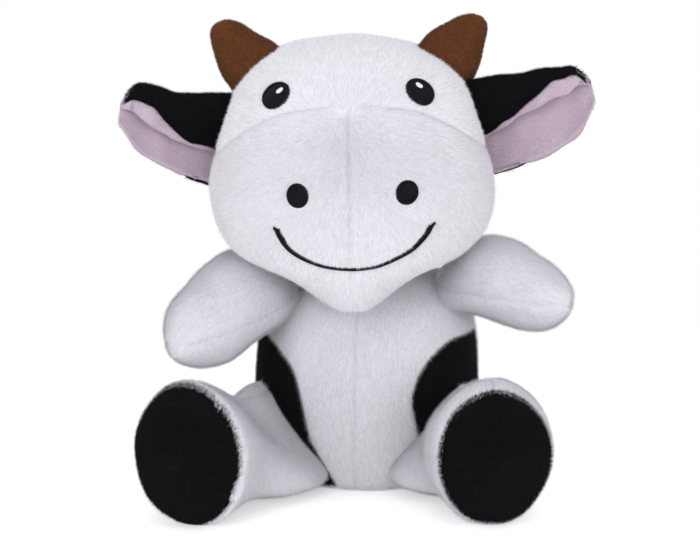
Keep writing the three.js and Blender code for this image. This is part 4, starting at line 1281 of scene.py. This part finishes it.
behind_cloth, behind_limb_cloth = 3.0, 2.6
chest_floor = 18
chest_rings = drawn_in(torso_rings, behind_cloth)
chest_rings[:, 0] = np.maximum(chest_rings[:, 0], chest_floor)
fill_with("torso_stuffing", dented(Form(chest_rings, 96, torso_place)), "torso", 10, 0.6, 43)
skull_rings = drawn_in(rings_of(head_shares, head_half, 70), behind_cloth)
fill_with("head_stuffing", dented(Form(skull_rings, 110, head_frame)), "head", 10, 0.6, 44)
for side, sign in (("left", -1), ("right", 1)):
    for node, (rings, place, *settling), body in (
            (f"arm_stuffing_{side}", arm_cores[side], f"arm_{side}"),
            (f"leg_stuffing_{side}", leg_cores[side], f"leg_{side}"),
            (f"horn_stuffing_{side}", horn_cores[side], "head")):
        core = Form(drawn_in(rings, behind_limb_cloth), 48, place)
        if "leg" in node:
            core = settled(flared(core), *settling)
        fill_with(node, core, body, 8, 0.5, 45 + sign)


# Floor and light
# A plain white floor that runs out of sight under a white sky, and large soft lamps to either
# side, overhead and, weaker, behind.

floor_reach = 3.0
corners = [(x * floor_reach, y * floor_reach, 0) for x, y in ((-1, -1), (1, -1), (1, 1), (-1, 1))]
floor = link("floor", corners, [(0, 1, 2, 3)])


def for_the_eye(tree, plain, shown):
    """A value that is one thing for light and another for what the camera sees."""
    rays = add(tree, "ShaderNodeLightPath").outputs
    seen = rays["Is Camera Ray"]
    for ray in ("Is Glossy Ray", "Is Transmission Ray"):
        seen = add(tree, "ShaderNodeMath", {0: seen, 1: rays[ray]}, operation="MAXIMUM").outputs[0]
    level = add(tree, "ShaderNodeMapRange", {"To Min": plain, "To Max": shown, "Value": seen})
    return level.outputs["Result"]


# Paper that fades to plain white away from the toy, for the eye alone.
paper = bpy.data.materials.new("white paper")
paper.use_nodes = True
tree = paper.node_tree
lit = tree.nodes["Principled BSDF"]
feed(tree, lit, {"Base Color": (0.9, 0.9, 0.9, 1), "Roughness": 0.9})
where = add(tree, "ShaderNodeTexCoord").outputs["Object"]
away = add(tree, "ShaderNodeVectorMath", {0: where}, operation="LENGTH").outputs["Value"]
far = add(tree, "ShaderNodeMapRange", {"From Min": 0.16, "From Max": 0.42, "Value": away},
          interpolation_type="SMOOTHSTEP")
eye_only = add(tree, "ShaderNodeMath", {
    0: far.outputs["Result"], 1: for_the_eye(tree, 0.0, 1.0)}, operation="MULTIPLY")
paper_glow = 0.46
lifted = add(tree, "ShaderNodeEmission", {"Strength": for_the_eye(tree, 0.0, paper_glow)})
paper_seen = add(tree, "ShaderNodeAddShader", {0: lit.outputs[0], 1: lifted.outputs[0]})
plain_white = add(tree, "ShaderNodeEmission")
fade = add(tree, "ShaderNodeMixShader", {
    0: eye_only.outputs[0], 1: paper_seen.outputs[0], 2: plain_white.outputs[0]})
feed(tree, tree.nodes["Material Output"], {"Surface": fade.outputs[0]})
floor.data.materials.append(paper)

sky_light = 0.46
world = bpy.data.worlds.new("studio")
bpy.context.scene.world = world
world.use_nodes = True
feed(world.node_tree, world.node_tree.nodes["Background"], {
    "Color": (1.0, 1.0, 1.0, 1), "Strength": for_the_eye(world.node_tree, sky_light, 1.0)})

lamp_size = 1.4
lamps = (
    ("key light", (-0.9, -1.4, 0.4), 15),
    ("fill light", (0.9, -1.4, 0.2), 16.5),
    ("top light", (0.0, -0.5, 1.6), 3.5),
    ("back light", (0.3, 1.7, 0.7), 9),
)
for name, place, power in lamps:
    data = bpy.data.lights.new(name, "AREA")
    data.size = lamp_size
    data.energy = power
    lamp = placed(name, data)
    lamp.location = place
    lamp.rotation_euler = (look_at - Vector(place)).to_track_quat("-Z", "Y").to_euler()
bpy.context.scene.view_settings.view_transform = "Standard"
